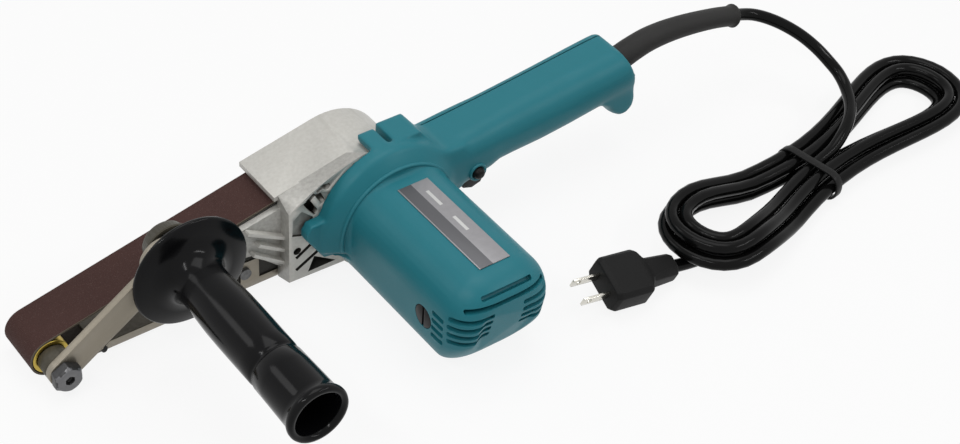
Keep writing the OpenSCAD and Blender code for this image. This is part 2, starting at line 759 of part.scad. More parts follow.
module motor_housing() {
    wide = 2 * flange_r;
    color([0.2, 0.44, 0.48])
        difference() {
            union() {
                barrel();
                intersection() {
                    turned(motor_x, motor_z)
                        polygon([
                            [0, wall_near], [flange_r, wall_near], [flange_r, flange_to - small_round],
                            [flange_r - small_round, flange_to], [shoulder_r, shoulder_to], [0, shoulder_to]
                        ]);
                    block([-2 * wide, 0, barrel_clear], [wide, barrel_end, 2 * wide]);
                }
                slab(wall_near, flange_to)
                    polygon(on_flange(ear_shares));
                top_lugs();
                rear_web();
                intersection() {
                    handle_frame()
                        handle_solid(0);
                    block([-2 * handle_rear - handle_back, handle_seam, -wide], [wide, wide, 2 * wide]);
                }
            }
            block(
                [motor_x + barrel_half + over, wall_near - over, 0],
                [wide, flange_to + wide, motor_z - ear_low_share * flange_r]
            );
            rod(motor_x, motor_z, wall_near - over, flange_to - small_round, shoulder_r);
            rod(motor_x, motor_z, flange_to - wall_thick, barrel_end * bore_end_share, barrel_bore);
            rod(
                motor_x, motor_z,
                barrel_end * bore_end_share - over, barrel_end * bore_end_share + bearing_w + side_gap,
                motor_bearing_r + fit_gap);
            rod(trigger_pivot[0], trigger_pivot[1], trigger_side[0] - lug_thick - fit_gap,
                trigger_side[1] + lug_thick + fit_gap, pin_r + fit_gap);
            rod(hood_x, hood_z, -wide, wall_near, hood_r + side_gap);
            block([hood_x, -wide, -over], [wide, wall_near - fit_gap, hood_z + hood_r * hood_clear_share]);
            for (side = [-1, 1])
                translate([motor_x + side * (barrel_half + over), brush_at, motor_z])
                    rotate([0, -90 * side, 0])
                        cylinder(
                            r = brush_cap_r + fit_gap,
                            h = barrel_half - barrel_bore + 2 * over + small_round
                        );
            handle_frame() {
                difference() {
                    intersection() {
                        handle_solid(handle_wall);
                        block([-handle_rear, handle_seam - over, -wide], [hollow_front, wide, wide]);
                    }
                    handle_bosses();
                }
            }
            block(
                [trigger_from - 2 * over, trigger_side[0] - side_gap, -over],
                [trigger_to + over, trigger_side[1] + side_gap, handle_height]
            );
            rod(
                lock_at[0], lock_at[1],
                handle_seam + handle_width / 2, handle_far + handle_width + over, lock_r + fit_gap
            );
            at_row() tube(guard_route, [for (s = guard_r_shares) s * guard_r + fit_gap], ring_sides);
            for (p = housing_screw_places)
                rod(p[0], p[1], wall_near - over, flange_to - small_round / 2, screw_r + fit_gap);
            handle_frame()
                for (p = handle_screw_places)
                    rod(p[0], p[1], handle_seam - over, handle_seam + handle_width / 2, screw_r + fit_gap);
            for (row = [0:end_slot_rows - 1], side = [-1, 1])
                block(
                    [
                        motor_x + min(side * end_slot_shares[0], side * end_slot_shares[1]) * barrel_half,
                        barrel_end * end_slot_from_share,
                        motor_z + (end_slot_rise_share - row * end_slot_step_share) * barrel_half
                    ],
                    [
                        motor_x + max(side * end_slot_shares[0], side * end_slot_shares[1]) * barrel_half,
                        barrel_end + over,
                        motor_z + (end_slot_rise_share - row * end_slot_step_share) * barrel_half + slot_w
                    ]
                );
            for (k = [0, 1])
                block(
                    [
                        motor_x - barrel_half * top_slot_half_shares[k],
                        barrel_end * top_slot_from_shares[k],
                        motor_z + barrel_half * top_slot_rise_shares[k]
                    ],
                    [
                        motor_x + barrel_half * top_slot_half_shares[k],
                        barrel_end + over,
                        motor_z + barrel_half * top_slot_rise_shares[k] + slot_w
                    ]
                );
            for (row = [0:end_slot_rows - 1], side = [-1, 1])
                block(
                    [
                        motor_x + side * barrel_half - lug_thick,
                        barrel_end * side_slot_shares[0],
                        motor_z + (side_slot_rise_share - row * end_slot_step_share) * barrel_half
                    ],
                    [
                        motor_x + side * barrel_half + lug_thick,
                        barrel_end * side_slot_shares[1],
                        motor_z + (side_slot_rise_share - row * end_slot_step_share) * barrel_half + slot_w
                    ]
                );
        }
}

module handle_cover() {
    wide = 2 * flange_r;
    color([0.2, 0.44, 0.48])
        difference() {
            intersection() {
                handle_frame()
                    handle_solid(0);
                block(
                    [-2 * handle_rear - handle_back, handle_far - over, -wide],
                    [motor_x - flange_r * 0.8, handle_seam - fit_gap, 2 * wide]
                );
            }
            handle_frame()
                difference() {
                    intersection() {
                        handle_solid(handle_wall);
                        block([-handle_rear, 0, -wide], [hollow_front, wide, wide]);
                    }
                    handle_bosses();
                }
            handle_frame()
                for (p = handle_screw_places) {
                    rod(p[0], p[1], 0, handle_seam + over, screw_r + fit_gap);
                    rod(p[0], p[1], 0, handle_far + screw_head_h + fit_gap, screw_head_r + fit_gap);
                }
        }
}

module label_plate() {
    color([0.6, 0.62, 0.62])
        block(
            [
                motor_x - label_width / 2 - small_round,
                barrel_end * label_share - label_length / 2,
                motor_z + barrel_half + fit_gap
            ],
            [
                motor_x + label_width / 2 - small_round,
                barrel_end * label_share + label_length / 2,
                motor_z + barrel_half + fit_gap + label_thick
            ]
        );
}

// A round head and a shank along Y; the head is at the low end
module screw(p, y_head, y_to) {
    rod(p[0], p[1], y_head, y_head + screw_head_h, screw_head_r);
    rod(p[0], p[1], y_head + screw_head_h - fit_gap, y_to, screw_r);
}

module housing_screws() {
    color([0.5, 0.5, 0.5])
        for (p = housing_screw_places)
            rod(p[0], p[1], chamber_from + over, flange_to - small_round, screw_r);
}

module handle_screws() {
    color([0.35, 0.35, 0.36])
        handle_frame()
            for (p = handle_screw_places)
                screw(p, handle_far, handle_seam + handle_width / 3);
}

module brush_caps() {
    color([0.08, 0.08, 0.08])
        for (side = [-1, 1])
            translate([motor_x + side * barrel_half, brush_at, motor_z])
                rotate([0, -90 * side, 0])
                    difference() {
                        cylinder(r = brush_cap_r, h = barrel_half - barrel_bore);
                        translate([-brush_cap_r, -small_round / 2, -over])
                            cube([2 * brush_cap_r, small_round, over + small_round]);
                    }
}

// Brush tubes stand in from the caps; the brushes reach from them to the commutator
module brush_tubes(half, from, to) {
    for (side = [-1, 1])
        translate([motor_x + side * from, brush_at, motor_z])
            rotate([0, 90 * side, 0])
                translate([-half, -half, 0])
                    cube([2 * half, 2 * half, to - from]);
}

module brush_holders() {
    color([0.75, 0.6, 0.3])
        difference() {
            brush_tubes(brush_half + small_round, commutator_r + small_round, barrel_bore - fit_gap);
            brush_tubes(brush_half + fit_gap, commutator_r, barrel_bore + over);
        }
}

module carbon_brushes() {
    color([0.15, 0.15, 0.16])
        brush_tubes(brush_half, commutator_r + fit_gap, barrel_bore - small_round);
}

module field_core() {
    color([0.45, 0.46, 0.48])
        pipe(
            motor_x, motor_z,
            barrel_end * core_shares[0], barrel_end * core_shares[1], barrel_bore - fit_gap, field_r
        );
}

module field_coils() {
    color([0.65, 0.38, 0.2]) {
        pipe(motor_x, motor_z, barrel_end * coil_shares[0], barrel_end * core_shares[0] - fit_gap,
            barrel_bore - small_round, field_r + small_round);
        pipe(motor_x, motor_z, barrel_end * core_shares[1] + fit_gap, barrel_end * coil_shares[1],
            barrel_bore - small_round, field_r + small_round);
    }
}

module motor_bearings() {
    color([0.7, 0.71, 0.73]) {
        pipe(motor_x, motor_z, wall_near + fit_gap, wall_near + bearing_w, motor_bearing_r, shaft_r + fit_gap);
        pipe(motor_x, motor_z, barrel_end * bore_end_share + fit_gap, barrel_end * bore_end_share + bearing_w,
            motor_bearing_r, shaft_r + fit_gap);
    }
}

module spindle_bearings() {
    color([0.7, 0.71, 0.73]) {
        pipe(0, drive_z, hood_near + fit_gap, chamber_from, spindle_bearing_r, spindle_r + fit_gap);
        pipe(0, drive_z, wall_near + fit_gap, wall_near + bearing_w, plate_bearing_r, spindle_end_r + fit_gap);
    }
}

module switch_body() {
    color([0.1, 0.1, 0.1])
        handle_frame()
            block(switch_from, switch_to);
}

module cord_clamp() {
    color([0.12, 0.12, 0.12])
        handle_frame()
            block(clamp_from, clamp_to);
}

module clamp_screws() {
    color([0.6, 0.6, 0.6])
        handle_frame()
            for (up = [-1, 1])
                translate([
                    (clamp_from[0] + clamp_to[0]) / 2,
                    clamp_from[1] - screw_head_h - fit_gap,
                    (clamp_from[2] + clamp_to[2]) / 2 + up * screw_head_r * clamp_screw_share
                ])
                    rotate([-90, 0, 0])
                        cylinder(r = screw_head_r, h = screw_head_h);
}

module cord_guard() {
    color([0.12, 0.12, 0.12])
        at_row()
            tube(guard_route, [for (s = guard_r_shares) s * guard_r], ring_sides);
}

// Stamped bowl behind the hand guard, notched for the nose strut
module grip_bracket() {
    r = bracket_r;
    floor_from = nose_from - small_round - shoe_thick - fit_gap;
    floor_to = nose_from - small_round - fit_gap;
    color([0.5, 0.47, 0.42])
        difference() {
            turned(grip_ahead, grip_height)
                polygon([
                    [0, floor_from], [r * bowl_shares[0], floor_from], [r * bowl_shares[1], floor_from + over],
                    [r - small_round, nose_to + small_round],
                    [r, nose_to + small_round], [r, nose_to + 2 * small_round],
                    [r - 2 * small_round, nose_to + 2 * small_round], [r * bowl_shares[2], floor_to + over],
                    [r * bowl_shares[3], floor_to],
                    [0, floor_to]
                ]);
            slab(nose_from - small_round - fit_gap, nose_to + side_gap)
                polygon([for (s = nose_shares)
                    let (room = s[1] > nose_middle_share ? notch_share : -notch_share)
                        spot([s[0], s[1] + room], grip_ahead, grip_height)]);
            slab(nose_to, nose_to + 4 * small_round)
                translate([grip_ahead - 2 * r, grip_height - r * gap_shares[1]])
                    square([2 * r - r * gap_shares[0], r * gap_shares[1]]);
            rod(bracket_screw_at[0], bracket_screw_at[1], 0, grip_seat, screw_r + fit_gap);
        }
}

module bracket_screw() {
    color([0.75, 0.75, 0.75])
        screw(
            bracket_screw_at,
            nose_from - small_round - shoe_thick - 2 * fit_gap - screw_head_h, nose_to - small_round
        );
}

module side_grip() {
    color([0.05, 0.05, 0.05])
        difference() {
            turned(grip_ahead, grip_height)
                polygon(concat(
                    [[0, grip_seat]],
                    [for (s = grip_shares) [
                        s[1] > disc_mark_share ? disc_r
                            : s[1] * (s[0] < grip_middle_share ? grip_body_r / grip_neck_share : grip_end_r),
                        grip_seat + s[0] * grip_length
                    ]],
                    [[0, grip_seat + grip_hollow_share * grip_length]]
                ));
            rod(
                grip_ahead, grip_height,
                grip_seat - over, grip_seat + stud_share * grip_length, stud_r + fit_gap
            );
        }
}

module grip_stud() {
    color([0.6, 0.6, 0.62])
        rod(
            grip_ahead, grip_height,
            nose_from + over + fit_gap, grip_seat + stud_share * grip_length - over, stud_r
        );
}

module shoe_plate() {
    color([0.5, 0.47, 0.42])
        difference() {
            union() {
                block(
                    [shoe_rear, -belt_half + side_gap, shoe_z],
                    [shoe_front, shoe_side + over, shoe_z + shoe_thick]
                );
                block([shoe_rear, shoe_side, shoe_z], [shoe_front, shoe_side + over, shoe_z + shoe_flange]);
                block(
                    [tab_shares[0] * grip_ahead, shoe_side, shoe_z],
                    [tab_shares[1] * grip_ahead, shoe_side + over, tab_top_share * grip_height]
                );
            }
            rod(tab_screw[0], tab_screw[1], belt_half, hood_near + over, screw_r + fit_gap);
        }
}

module shoe_screw() {
    color([0.2, 0.2, 0.2]) {
        rod(
            tab_screw[0], tab_screw[1],
            shoe_side + over + fit_gap, shoe_side + over + screw_head_h, screw_head_r
        );
        rod(
            tab_screw[0], tab_screw[1],
            beam_far_share * belt_half + 2 * over, shoe_side + over + 2 * fit_gap, screw_r
        );
    }
}

module armature_shaft() {
    color([0.62, 0.63, 0.65]) {
        slab(gear_from, gear_to)
            translate([motor_x, motor_z])
                polygon(gear_outline(pinion_teeth, mesh_angle));
        rod(
            motor_x, motor_z,
            gear_from - small_round, barrel_end * bore_end_share + bearing_w, shaft_r - fit_gap
        );
    }
}

module on_shaft(shares, r) {
    pipe(motor_x, motor_z, barrel_end * shares[0], barrel_end * shares[1], r, shaft_r);
}

module armature_core() {
    color([0.4, 0.4, 0.42])
        on_shaft(core_shares, armature_r);
}

module commutator() {
    color([0.72, 0.45, 0.25])
        on_shaft(commutator_shares, commutator_r);
}

module cooling_fan() {
    color([0.2, 0.2, 0.22]) {
        pipe(motor_x, motor_z, barrel_end * fan_shares[0], barrel_end * fan_shares[0] + small_round,
            barrel_bore - small_round, shaft_r);
        for (i = [0:fan_blades - 1])
            translate([motor_x, 0, motor_z])
                rotate([0, 360 * i / fan_blades, 0])
                    block(
                        [shaft_r * 2, barrel_end * fan_shares[0], -small_round / 2],
                        [barrel_bore - 2 * small_round, barrel_end * fan_shares[1], small_round / 2]
                    );
    }
}

module drive_spindle() {
    color([0.62, 0.63, 0.65]) {
        rod(0, drive_z, -belt_half - lug_thick - over, gear_to, spindle_r);
        rod(0, drive_z, gear_to - over, wall_near + bearing_w, spindle_end_r);
    }
}

module drive_gear() {
    color([0.55, 0.55, 0.57])
        slab(gear_from, gear_to)
            translate([0, drive_z])
                difference() {
                    polygon(gear_outline(gear_teeth, mesh_angle + 180 + 180 / gear_teeth));
                    circle(r = spindle_r + fit_gap);
                }
}

module drive_wheel() {
    r = drive_wheel_r - tyre_thick - fit_gap;
    color([0.7, 0.7, 0.7])
        difference() {
            pipe(0, drive_z, -belt_half + over, belt_half - over, r, spindle_r + fit_gap);
            for (side = [-1, 1])
                pipe(0, drive_z, side > 0 ? lug_thick : -belt_half, side > 0 ? belt_half : -lug_thick,
                    r - lug_thick, spindle_r + lug_thick);
        }
}

module drive_tyre() {
    color([0.1, 0.1, 0.1])
        pipe(0, drive_z, -belt_half + over, belt_half - over, drive_wheel_r, drive_wheel_r - tyre_thick);
}

module wheel_nut() {
    color([0.6, 0.6, 0.62])
        slab(-belt_half - lug_thick + fit_gap, -belt_half + over - fit_gap)
            translate([0, drive_z])
                difference() {
                    circle(r = spindle_r * nut_share, $fn = 6);
                    circle(r = spindle_r + fit_gap);
                }
}

// Flat bar from the idler bolt up to an eye round the grip boss, with a guided tongue behind
module idler_arm() {
    grip = [grip_ahead, grip_height];
    idler = [axle_span, idler_z];
    guide = [guide_share[0] * grip_ahead, guide_share[1] * grip_height];
    way = unit(idler - grip);
    across = [-way[1], way[0]];
    eye = boss_r + arm_half * tongue_share;
    color([0.5, 0.47, 0.42])
        difference() {
            union() {
                slab(arm_from, arm_near) {
                    polygon([
                        grip + arm_half * across, grip - arm_half * across,
                        idler - arm_half * across, idler + arm_half * across
                    ]);
                    translate(idler)
                        circle(r = arm_half + side_gap / 2);
                    translate(grip)
                        circle(r = eye);
                    translate(grip + [arm_travel - over, 0])
                        circle(r = eye - side_gap);
                    translate([guide[0] - boss_r, guide[1] - arm_half * tongue_share])
                        square([grip[0] - guide[0] + boss_r, 2 * arm_half * tongue_share]);
                }
                block(
                    [
                        spring_shares[1] * grip_ahead,
                        nose_to + side_gap,
                        (spring_height_share - tab_half_share) * grip_height
                    ],
                    [
                        spring_shares[1] * grip_ahead + lug_thick,
                        arm_near,
                        (spring_height_share + tab_half_share) * grip_height
                    ]
                );
                block(
                    [spring_shares[1] * grip_ahead, arm_from, spring_height_share * grip_height],
                    [spring_shares[1] * grip_ahead + lug_thick, arm_near, guide[1] - screw_r - over]
                );
            }
            slab(arm_from - over, arm_near + over) {
                translate(grip)
                    circle(r = boss_r + side_gap);
                translate(grip + [arm_travel, 0])
                    circle(r = boss_r + side_gap);
                translate(grip - [0, boss_r + side_gap])
                    square([arm_travel, 2 * (boss_r + side_gap)]);
                translate([guide[0] - screw_r - side_gap, guide[1] - screw_r - side_gap])
                    square([arm_travel + 2 * (screw_r + side_gap), 2 * (screw_r + side_gap)]);
                translate(idler)
                    circle(r = idler_axle_r + fit_gap);
            }
            tracking_frame()
                cylinder(r = screw_r + fit_gap, h = 2 * arm_half, center = true);
        }
}

// Frame on the arm's lower edge, Z pointing out of the edge
module tracking_frame() {
    grip = [grip_ahead, grip_height];
    idler = [axle_span, idler_z];
    way = unit(idler - grip);
    place = idler - way * tracking_back - arm_half * [-way[1], way[0]];
    translate([place[0], (arm_from + arm_near) / 2, place[1]])
        rotate([0, 180 + atan2(-way[1], way[0]), 0])
            children();
}

module tracking_screw() {
    color([0.15, 0.15, 0.15])
        tracking_frame()
            translate([0, 0, -arm_half + over])
                cylinder(r = screw_r, h = arm_half + lug_thick);
}

module guide_screw() {
    guide = [guide_share[0] * grip_ahead, guide_share[1] * grip_height];
    color([0.6, 0.6, 0.62]) {
        rod(guide[0], guide[1], nose_from + 2 * over, arm_near + 2 * side_gap, screw_r);
        rod(
            guide[0], guide[1],
            arm_near + side_gap, arm_near + side_gap + screw_head_h, screw_head_r * washer_share
        );
    }
}

// Compression spring between the fixed lug and the arm's tab
module tension_spring() {
    from = spring_shares[0] * grip_ahead + side_gap + spring_wire / 2;
    to = spring_shares[1] * grip_ahead - side_gap - spring_wire / 2;
    rings = coil_steps * spring_turns;
    path = [for (i = [0:rings]) [
        spring_r * cos(360 * i / coil_steps),
        spring_r * sin(360 * i / coil_steps),
        from + (to - from) * i / rings
    ]];
    echo(spring_gap = norm(path[coil_steps] - path[0]) - spring_wire);
    color([0.6, 0.6, 0.62])
        translate([0, (nose_to + arm_near) / 2, spring_height_share * grip_height])
            rotate([0, 90, 0])
                tube(path, [for (p = path) spring_wire / 2], hank_sides);
}

module idler_bolt() {
    color([0.25, 0.25, 0.26])
        difference() {
            union() {
                rod(axle_span, idler_z, -belt_half + over, arm_near + over, idler_axle_r);
                rod(axle_span, idler_z, arm_near + fit_gap, arm_near + bolt_head_h, bolt_head_r);
            }
            slab(arm_near + bolt_head_h / 2, arm_near + bolt_head_h + over)
                translate([axle_span, idler_z])
                    circle(r = idler_axle_r, $fn = 6);
        }
}

module idler_spacer() {
    color([0.15, 0.15, 0.15])
        pipe(
            axle_span, idler_z, belt_half + side_gap, arm_from - fit_gap,
            idler_axle_r * spacer_share, idler_axle_r + fit_gap
        );
}

module idler_wheel() {
    color([0.75, 0.6, 0.3])
        pipe(axle_span, idler_z, -belt_half, belt_half, idler_wheel_r, idler_bearing_r + fit_gap);
}

module idler_bearing() {
    color([0.6, 0.61, 0.63])
        pipe(axle_span, idler_z, -belt_half + over, belt_half - over, idler_bearing_r, idler_axle_r + fit_gap);
}

module trigger() {
    color([0.08, 0.08, 0.08])
        difference() {
            slab(trigger_side[0], trigger_side[1])
                polygon([for (s = trigger_shares) [
                    trigger_to + s[0] * (trigger_from - trigger_to),
                    trigger_low + s[1] * (trigger_high - trigger_low)
                ]]);
            rod(trigger_pivot[0], trigger_pivot[1], 0, handle_width, pin_r + fit_gap);
        }
}

module trigger_pin() {
    color([0.6, 0.6, 0.62])
        rod(
            trigger_pivot[0], trigger_pivot[1],
            trigger_side[0] - lug_thick, trigger_side[1] + lug_thick, pin_r
        );
}

module lock_button() {
    near = handle_far + handle_width;
    color([0.06, 0.06, 0.06])
        turned(lock_at[0], lock_at[1])
            polygon(concat(
                [[0, near - handle_wall - lug_thick], [lock_r, near - handle_wall - lug_thick]],
                [[lock_r, near + over]],
                arc(lock_r - 2 * small_round, near + over, 2 * small_round, 0, 90, 4),
                [[0, near + over + 2 * small_round]]
            ));
}

// A point of the hank's own frame, on the table
function on_table(p) = [
    hank_x + p[0] * cos(hank_turn) - p[1] * sin(hank_turn),
    hank_y + p[0] * sin(hank_turn) + p[1] * cos(hank_turn),
    p[2]
];
function smooth(s) = let (c = max(0, min(1, s))) c * c * (3 - 2 * c);

// The hank: strands drawn in at the waist, spiralling out on the upper layer and in again on the lower one
function hank_point(t) = let (
    a = hank_start_angle - 360 * t,
    inward = strand_step * abs(t - hank_turns / 2),
    low = max(0, min(1, (t - hank_turns / 2 + climb_share) / (2 * climb_share))),
    c = cos(a),
    s = sin(a),
    full = lobe_full - waist_half,
    along = hank_half * c,
    across = s * (waist_half + full * c * c),
    way = unit([-hank_half * s, c * (waist_half + full * c * c) - 2 * full * s * s * c]),
    place = [along, across] + inward * [-way[1], way[0]]
) [
    place[0], place[1],
    hank_low + strand_step * (1 - low)
        + lobe_lift * smooth((place[0] / hank_half - lift_shares[0]) / lift_shares[1])
];
hank_count = hank_rings * hank_turns;
hank_path = [for (i = [0:hank_count]) hank_point(i / hank_rings)];
hank_gap = min([
    for (i = [0:hank_count], j = [0:hank_count])
        if (j > i + hank_rings / 3) norm(hank_path[i] - hank_path[j]) - lead_d
]);

module cord_hank() {
    echo(least_gap = hank_gap);
    color([0.06, 0.06, 0.06])
        tube([for (p = hank_path) on_table(p)], [for (p = hank_path) lead_d / 2], hank_sides);
}

module cord_lead() {
    path = concat(lead_route, [on_table(hank_path[0])]);
    color([0.06, 0.06, 0.06])
        tube(path, [for (p = path) lead_d / 2], lead_sides);
}

module cord_tail() {
    path = concat([hank_path[hank_count]], tail_route);
    color([0.06, 0.06, 0.06])
        tube([for (p = path) on_table(p)], [for (p = path) lead_d / 2], lead_sides);
}

module cord_tie() {
    half = waist_half + lead_d / 2 + 2 * side_gap + small_round / 2;
    top = hank_low + strand_step + lead_d / 2 + 2 * side_gap;
    color([0.1, 0.1, 0.1])
        translate([hank_x, hank_y, 0])
            rotate([0, 0, hank_turn])
                translate([tie_at, 0, (top + tie_thick) / 2])
                    bar(-tie_width / 2, tie_width / 2)
                        difference() {
                            polygon(round_box(2 * (half + tie_thick), top + tie_thick, lead_d / 2 + tie_thick));
                            polygon(round_box(2 * half, top - tie_thick, lead_d / 2));
                        }
}

// Frame of the plug: X from its neck to its blades
module plug_frame() {
    translate(on_table(tail_route[len(tail_route) - 1]))
        rotate([0, 0, hank_turn + plug_heading])
            rotate([0, -plug_pitch, 0])
                rotate([plug_roll, 0, 0])
                    children();
}

module plug_body() {
    color([0.07, 0.07, 0.07])
        plug_frame()
            loft([for (s = plug_shares)
                let (ring = round_box(plug_width * s[1], plug_thick * s[2],
                    plug_round_share * min(plug_width * s[1], plug_thick * s[2])))
                    [for (p = ring) [s[0] * plug_length, p[0], p[1]]]]);
}

module plug_blades() {
    color([0.75, 0.75, 0.72])
        plug_frame()
            for (side = [-1, 1])
                translate([plug_length + fit_gap, side * blade_gap / 2 - small_round / 2, -lug_thick])
                    difference() {
                        cube([blade_length, small_round, 2 * lug_thick]);
                        translate([blade_length - lug_thick - small_round, -over, lug_thick])
                            rotate([-90, 0, 0])
                                cylinder(r = small_round, h = small_round + 2 * over);
                    }
}

module at_row() {
    translate([-drive_x, 0, 0])
        children();
}

at_drive() gear_housing();
at_drive() gear_plate();
at_drive() motor_housing();
at_drive() handle_cover();
at_drive() label_plate();
at_drive() housing_screws();
at_drive() handle_screws();
at_drive() brush_caps();
at_drive() brush_holders();
at_drive() carbon_brushes();
at_drive() field_core();
at_drive() field_coils();
at_drive() motor_bearings();
at_drive() spindle_bearings();
at_drive() switch_body();
at_drive() cord_clamp();
at_drive() clamp_screws();
at_drive() cord_guard();
at_drive() grip_bracket();
at_drive() bracket_screw();
at_drive() side_grip();
at_drive() grip_stud();
at_drive() shoe_plate();
at_drive() shoe_screw();
at_drive() abrasive_belt();
cord_lead();
cord_hank();
cord_tail();
cord_tie();
plug_body();
plug_blades();
at_drive() armature_shaft();
at_drive() armature_core();
at_drive() commutator();
at_drive() cooling_fan();
at_drive() drive_spindle();
at_drive() drive_gear();
at_drive() drive_wheel();
at_drive() drive_tyre();
at_drive() wheel_nut();
at_drive() idler_arm();
at_drive() guide_screw();
at_drive() tension_spring();
at_drive() idler_bolt();
at_drive() idler_spacer();
at_drive() idler_wheel();
at_drive() idler_bearing();
at_drive() tracking_screw();
at_drive() trigger();
at_drive() trigger_pin();
at_drive() lock_button();
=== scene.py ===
# %% [markdown]
# # A corded power file, dressed cell by cell
# The solids of this tool come from a CAD pack: wheels, castings, shells and screws. This lesson
# loads them as a frame that never moves, and then gives each visible piece its moulded form and
# its finish. Everything is in metres, and the belt's flat run lies on the table at height zero.

# %% Load the frame
from math import asin, cos, exp, hypot, pi, radians, sin, sqrt

import bmesh
import bpy
from mathutils import Matrix, Vector


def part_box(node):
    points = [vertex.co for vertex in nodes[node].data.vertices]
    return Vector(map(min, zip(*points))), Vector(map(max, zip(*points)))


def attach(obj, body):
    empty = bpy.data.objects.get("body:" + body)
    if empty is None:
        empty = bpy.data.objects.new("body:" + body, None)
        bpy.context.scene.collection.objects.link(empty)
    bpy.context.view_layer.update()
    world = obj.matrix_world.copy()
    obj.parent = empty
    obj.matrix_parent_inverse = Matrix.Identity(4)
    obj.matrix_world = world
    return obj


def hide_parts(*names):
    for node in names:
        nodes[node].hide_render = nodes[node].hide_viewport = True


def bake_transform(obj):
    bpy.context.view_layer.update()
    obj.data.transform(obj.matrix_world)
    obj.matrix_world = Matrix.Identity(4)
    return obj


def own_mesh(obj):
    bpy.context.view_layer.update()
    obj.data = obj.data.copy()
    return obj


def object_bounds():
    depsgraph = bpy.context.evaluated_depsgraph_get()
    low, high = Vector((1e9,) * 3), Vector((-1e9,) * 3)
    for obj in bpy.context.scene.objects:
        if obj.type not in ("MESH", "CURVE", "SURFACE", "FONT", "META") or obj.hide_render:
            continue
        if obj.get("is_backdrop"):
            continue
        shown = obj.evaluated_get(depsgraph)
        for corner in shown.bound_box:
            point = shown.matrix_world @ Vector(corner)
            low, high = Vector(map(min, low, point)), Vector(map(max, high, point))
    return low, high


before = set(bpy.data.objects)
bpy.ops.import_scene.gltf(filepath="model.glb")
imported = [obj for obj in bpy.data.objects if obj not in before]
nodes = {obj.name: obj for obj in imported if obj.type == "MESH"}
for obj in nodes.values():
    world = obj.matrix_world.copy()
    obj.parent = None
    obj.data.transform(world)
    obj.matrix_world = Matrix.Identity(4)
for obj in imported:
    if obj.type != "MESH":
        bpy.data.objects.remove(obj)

cad_low, cad_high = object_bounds()
scene, MM = bpy.context.scene, 0.001
print("nodes:", len(nodes), "box:", [round(v, 3) for v in (*cad_low, *cad_high)])

# %% [markdown]
# ## The camera
# A long lens looks down on the motor side, as a catalogue picture does. A camera can be turned by
# Euler angles, or tracked to a target. Here its direction is an azimuth round the tool, an
# elevation above the table and a small roll, and the matrix is built from the three axes that these
# give, which is easy to check and needs no constraint.

# %% Camera
AZIMUTH, ELEVATION, ROLL = (radians(a) for a in (140.5236, 41.3868, 4.4948))
TARGET = Vector((-0.14604, 0.07585, 0.04))
DISTANCE, LENS, SENSOR = 1.12304, 75.01, 36


def placed(name, data):
    """A new object in the scene."""
    made = bpy.data.objects.new(name, data)
    scene.collection.objects.link(made)
    return made


reach = cos(ELEVATION)
back = Vector((sin(AZIMUTH) * reach, -cos(AZIMUTH) * reach, sin(ELEVATION)))
level = Vector((cos(AZIMUTH), sin(AZIMUTH), 0))
upright = back.cross(level)
right = level * cos(ROLL) + upright * sin(ROLL)
up = upright * cos(ROLL) - level * sin(ROLL)
axes = Matrix((right, up, back)).transposed().to_4x4()
camera = placed("camera", bpy.data.cameras.new("camera"))
camera.matrix_world = Matrix.Translation(TARGET + back * DISTANCE) @ axes
camera.data.lens, camera.data.sensor_width = LENS, SENSOR
scene.camera = camera
print("camera at", [round(v, 3) for v in camera.matrix_world.translation])

# %% [markdown]
# ## Writing finishes as sums
# A finish is a tree of shader nodes. It could be drawn by hand in the node editor, but a script
# reads better as a recipe. So one small class wraps a socket, and sums on values are written as
# Python expressions. A second class makes every other node by one method. The patterns read the
# piece's own coordinates, so they stay on the piece in every pose.

# %% Sockets and finishes
EDGE_FROM, EDGE_FULL = 0.53, 0.6
MIX_A, MIX_B, MIX_OUT = 6, 7, 2


class Wire:
    """A socket whose value can be added, multiplied and compared."""

    def __init__(self, tree, socket):
        self.tree, self.socket = tree, socket

    def sum(self, operation, other, reflected=False):
        pair = (other, self) if reflected else (self, other)
        return self.tree.node("ShaderNodeMath", dict(enumerate(pair)), operation=operation)

    def __add__(self, other):
        return self.sum("ADD", other)

    def __sub__(self, other):
        return self.sum("SUBTRACT", other)

    def __rsub__(self, other):
        return self.sum("SUBTRACT", other, reflected=True)

    def __mul__(self, other):
        return self.sum("MULTIPLY", other)

    def __gt__(self, other):
        return self.sum("GREATER_THAN", other)

    def __lt__(self, other):
        return self.sum("LESS_THAN", other)

    __radd__, __rmul__ = __add__, __mul__


